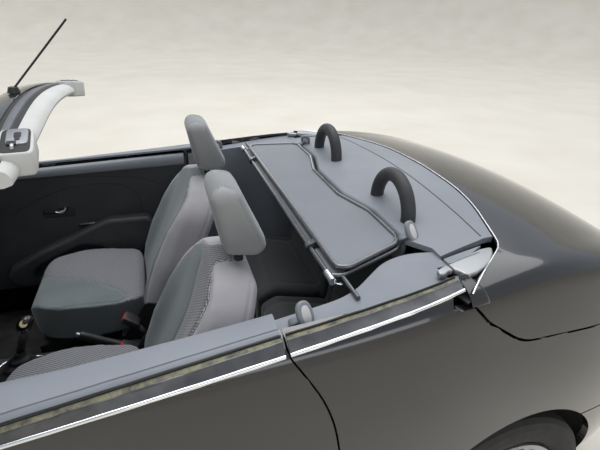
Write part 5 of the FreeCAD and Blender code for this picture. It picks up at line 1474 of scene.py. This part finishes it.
for way, side in SIDES:
    rows = []
    for x in np.linspace(0.60, -0.50, 34):
        top = 0.934 - 0.056 * (x - 0.278)
        low = 0.9 - 0.033 * (x - 0.284)
        hit = on_trim(side, way, x, low)
        if hit is None:
            continue
        y = abs(hit.y)
        rows.append([(x, (y + d) * way, z) for d, z in (
            (0.003, low - 0.002), (-0.003, low), (-0.0065, low + 0.006), (-0.0075, (low + top) / 2),
            (-0.004, top - 0.006), (0.003, top), (0.02, top + 0.001), (0.02, low - 0.002))])
    lining = grid_mesh("door_cap_face_" + side, rows, GREY, closed=True, caps=True)
    sharp_by_angle(lining, 50)
    ride_with(lining, "door_" + side)


# Floor, light and surroundings

def stage():
    """A bowl of floor with soft lamps over it."""
    rings = [(0.0, 0.0), (3.0, 0.0), (8.0, 0.0), (16.0, 0.0)]
    rings += [(16 + 8 * math.sin(t), 8 - 8 * math.cos(t)) for t in np.linspace(0.1, math.pi / 2, 12)]
    turns = np.linspace(0, 2 * math.pi, 65)[:-1]
    rows = [[(max(r, 0.01) * math.cos(t), max(r, 0.01) * math.sin(t), z) for t in turns] for r, z in rings]
    m = new_material("floor", (0.75, 0.7, 0.6), 0.6)
    tint(m, noise(m, 1.2, 5.0), (0.72, 0.67, 0.58), (0.78, 0.74, 0.65))
    floor = grid_mesh("floor", rows, m, closed=True)

    def lamp(name, where, target, size, power, colour=(1, 1, 1)):
        data = bpy.data.lights.new(name, "AREA")
        data.shape = "RECTANGLE"
        data.size, data.size_y = size
        data.energy = power
        data.color = colour
        obj = bpy.data.objects.new(name, data)
        obj.location = where
        obj.rotation_euler = (Vector(target) - Vector(where)).to_track_quat("-Z", "Y").to_euler()
        bpy.context.scene.collection.objects.link(obj)

    lamp("top_light", (0.5, -1.5, 7), (0, 0, 0.5), (6, 2), 120)
    lamp("side_light", (-2, 8, 4), (0, 0, 0.7), (7, 1.5), 70, (0.93, 0.96, 1))
    lamp("far_light", (-3, -8, 4), (0, 0, 0.7), (7, 1.5), 50)
    sun = bpy.data.lights.new("soft_sky", "SUN")
    sun.energy = 1.7
    sun.angle = 1.3
    sky = bpy.data.objects.new("soft_sky", sun)
    sky.rotation_euler = (math.radians(18), math.radians(-14), 0)
    bpy.context.scene.collection.objects.link(sky)
    world = bpy.data.worlds.new("studio")
    bpy.context.scene.world = world
    world.use_nodes = True
    background = world.node_tree.nodes["Background"].inputs
    background["Color"].default_value = (0.8, 0.86, 0.95, 1)
    background["Strength"].default_value = 0.55
    bpy.context.scene.view_settings.view_transform = "Standard"


stage()

for node, obj in NODES.items():
    if not obj.hide_render:
        dress(obj, SLOT_LOOKS.get(NODE_SLOTS.get(node), DARK))
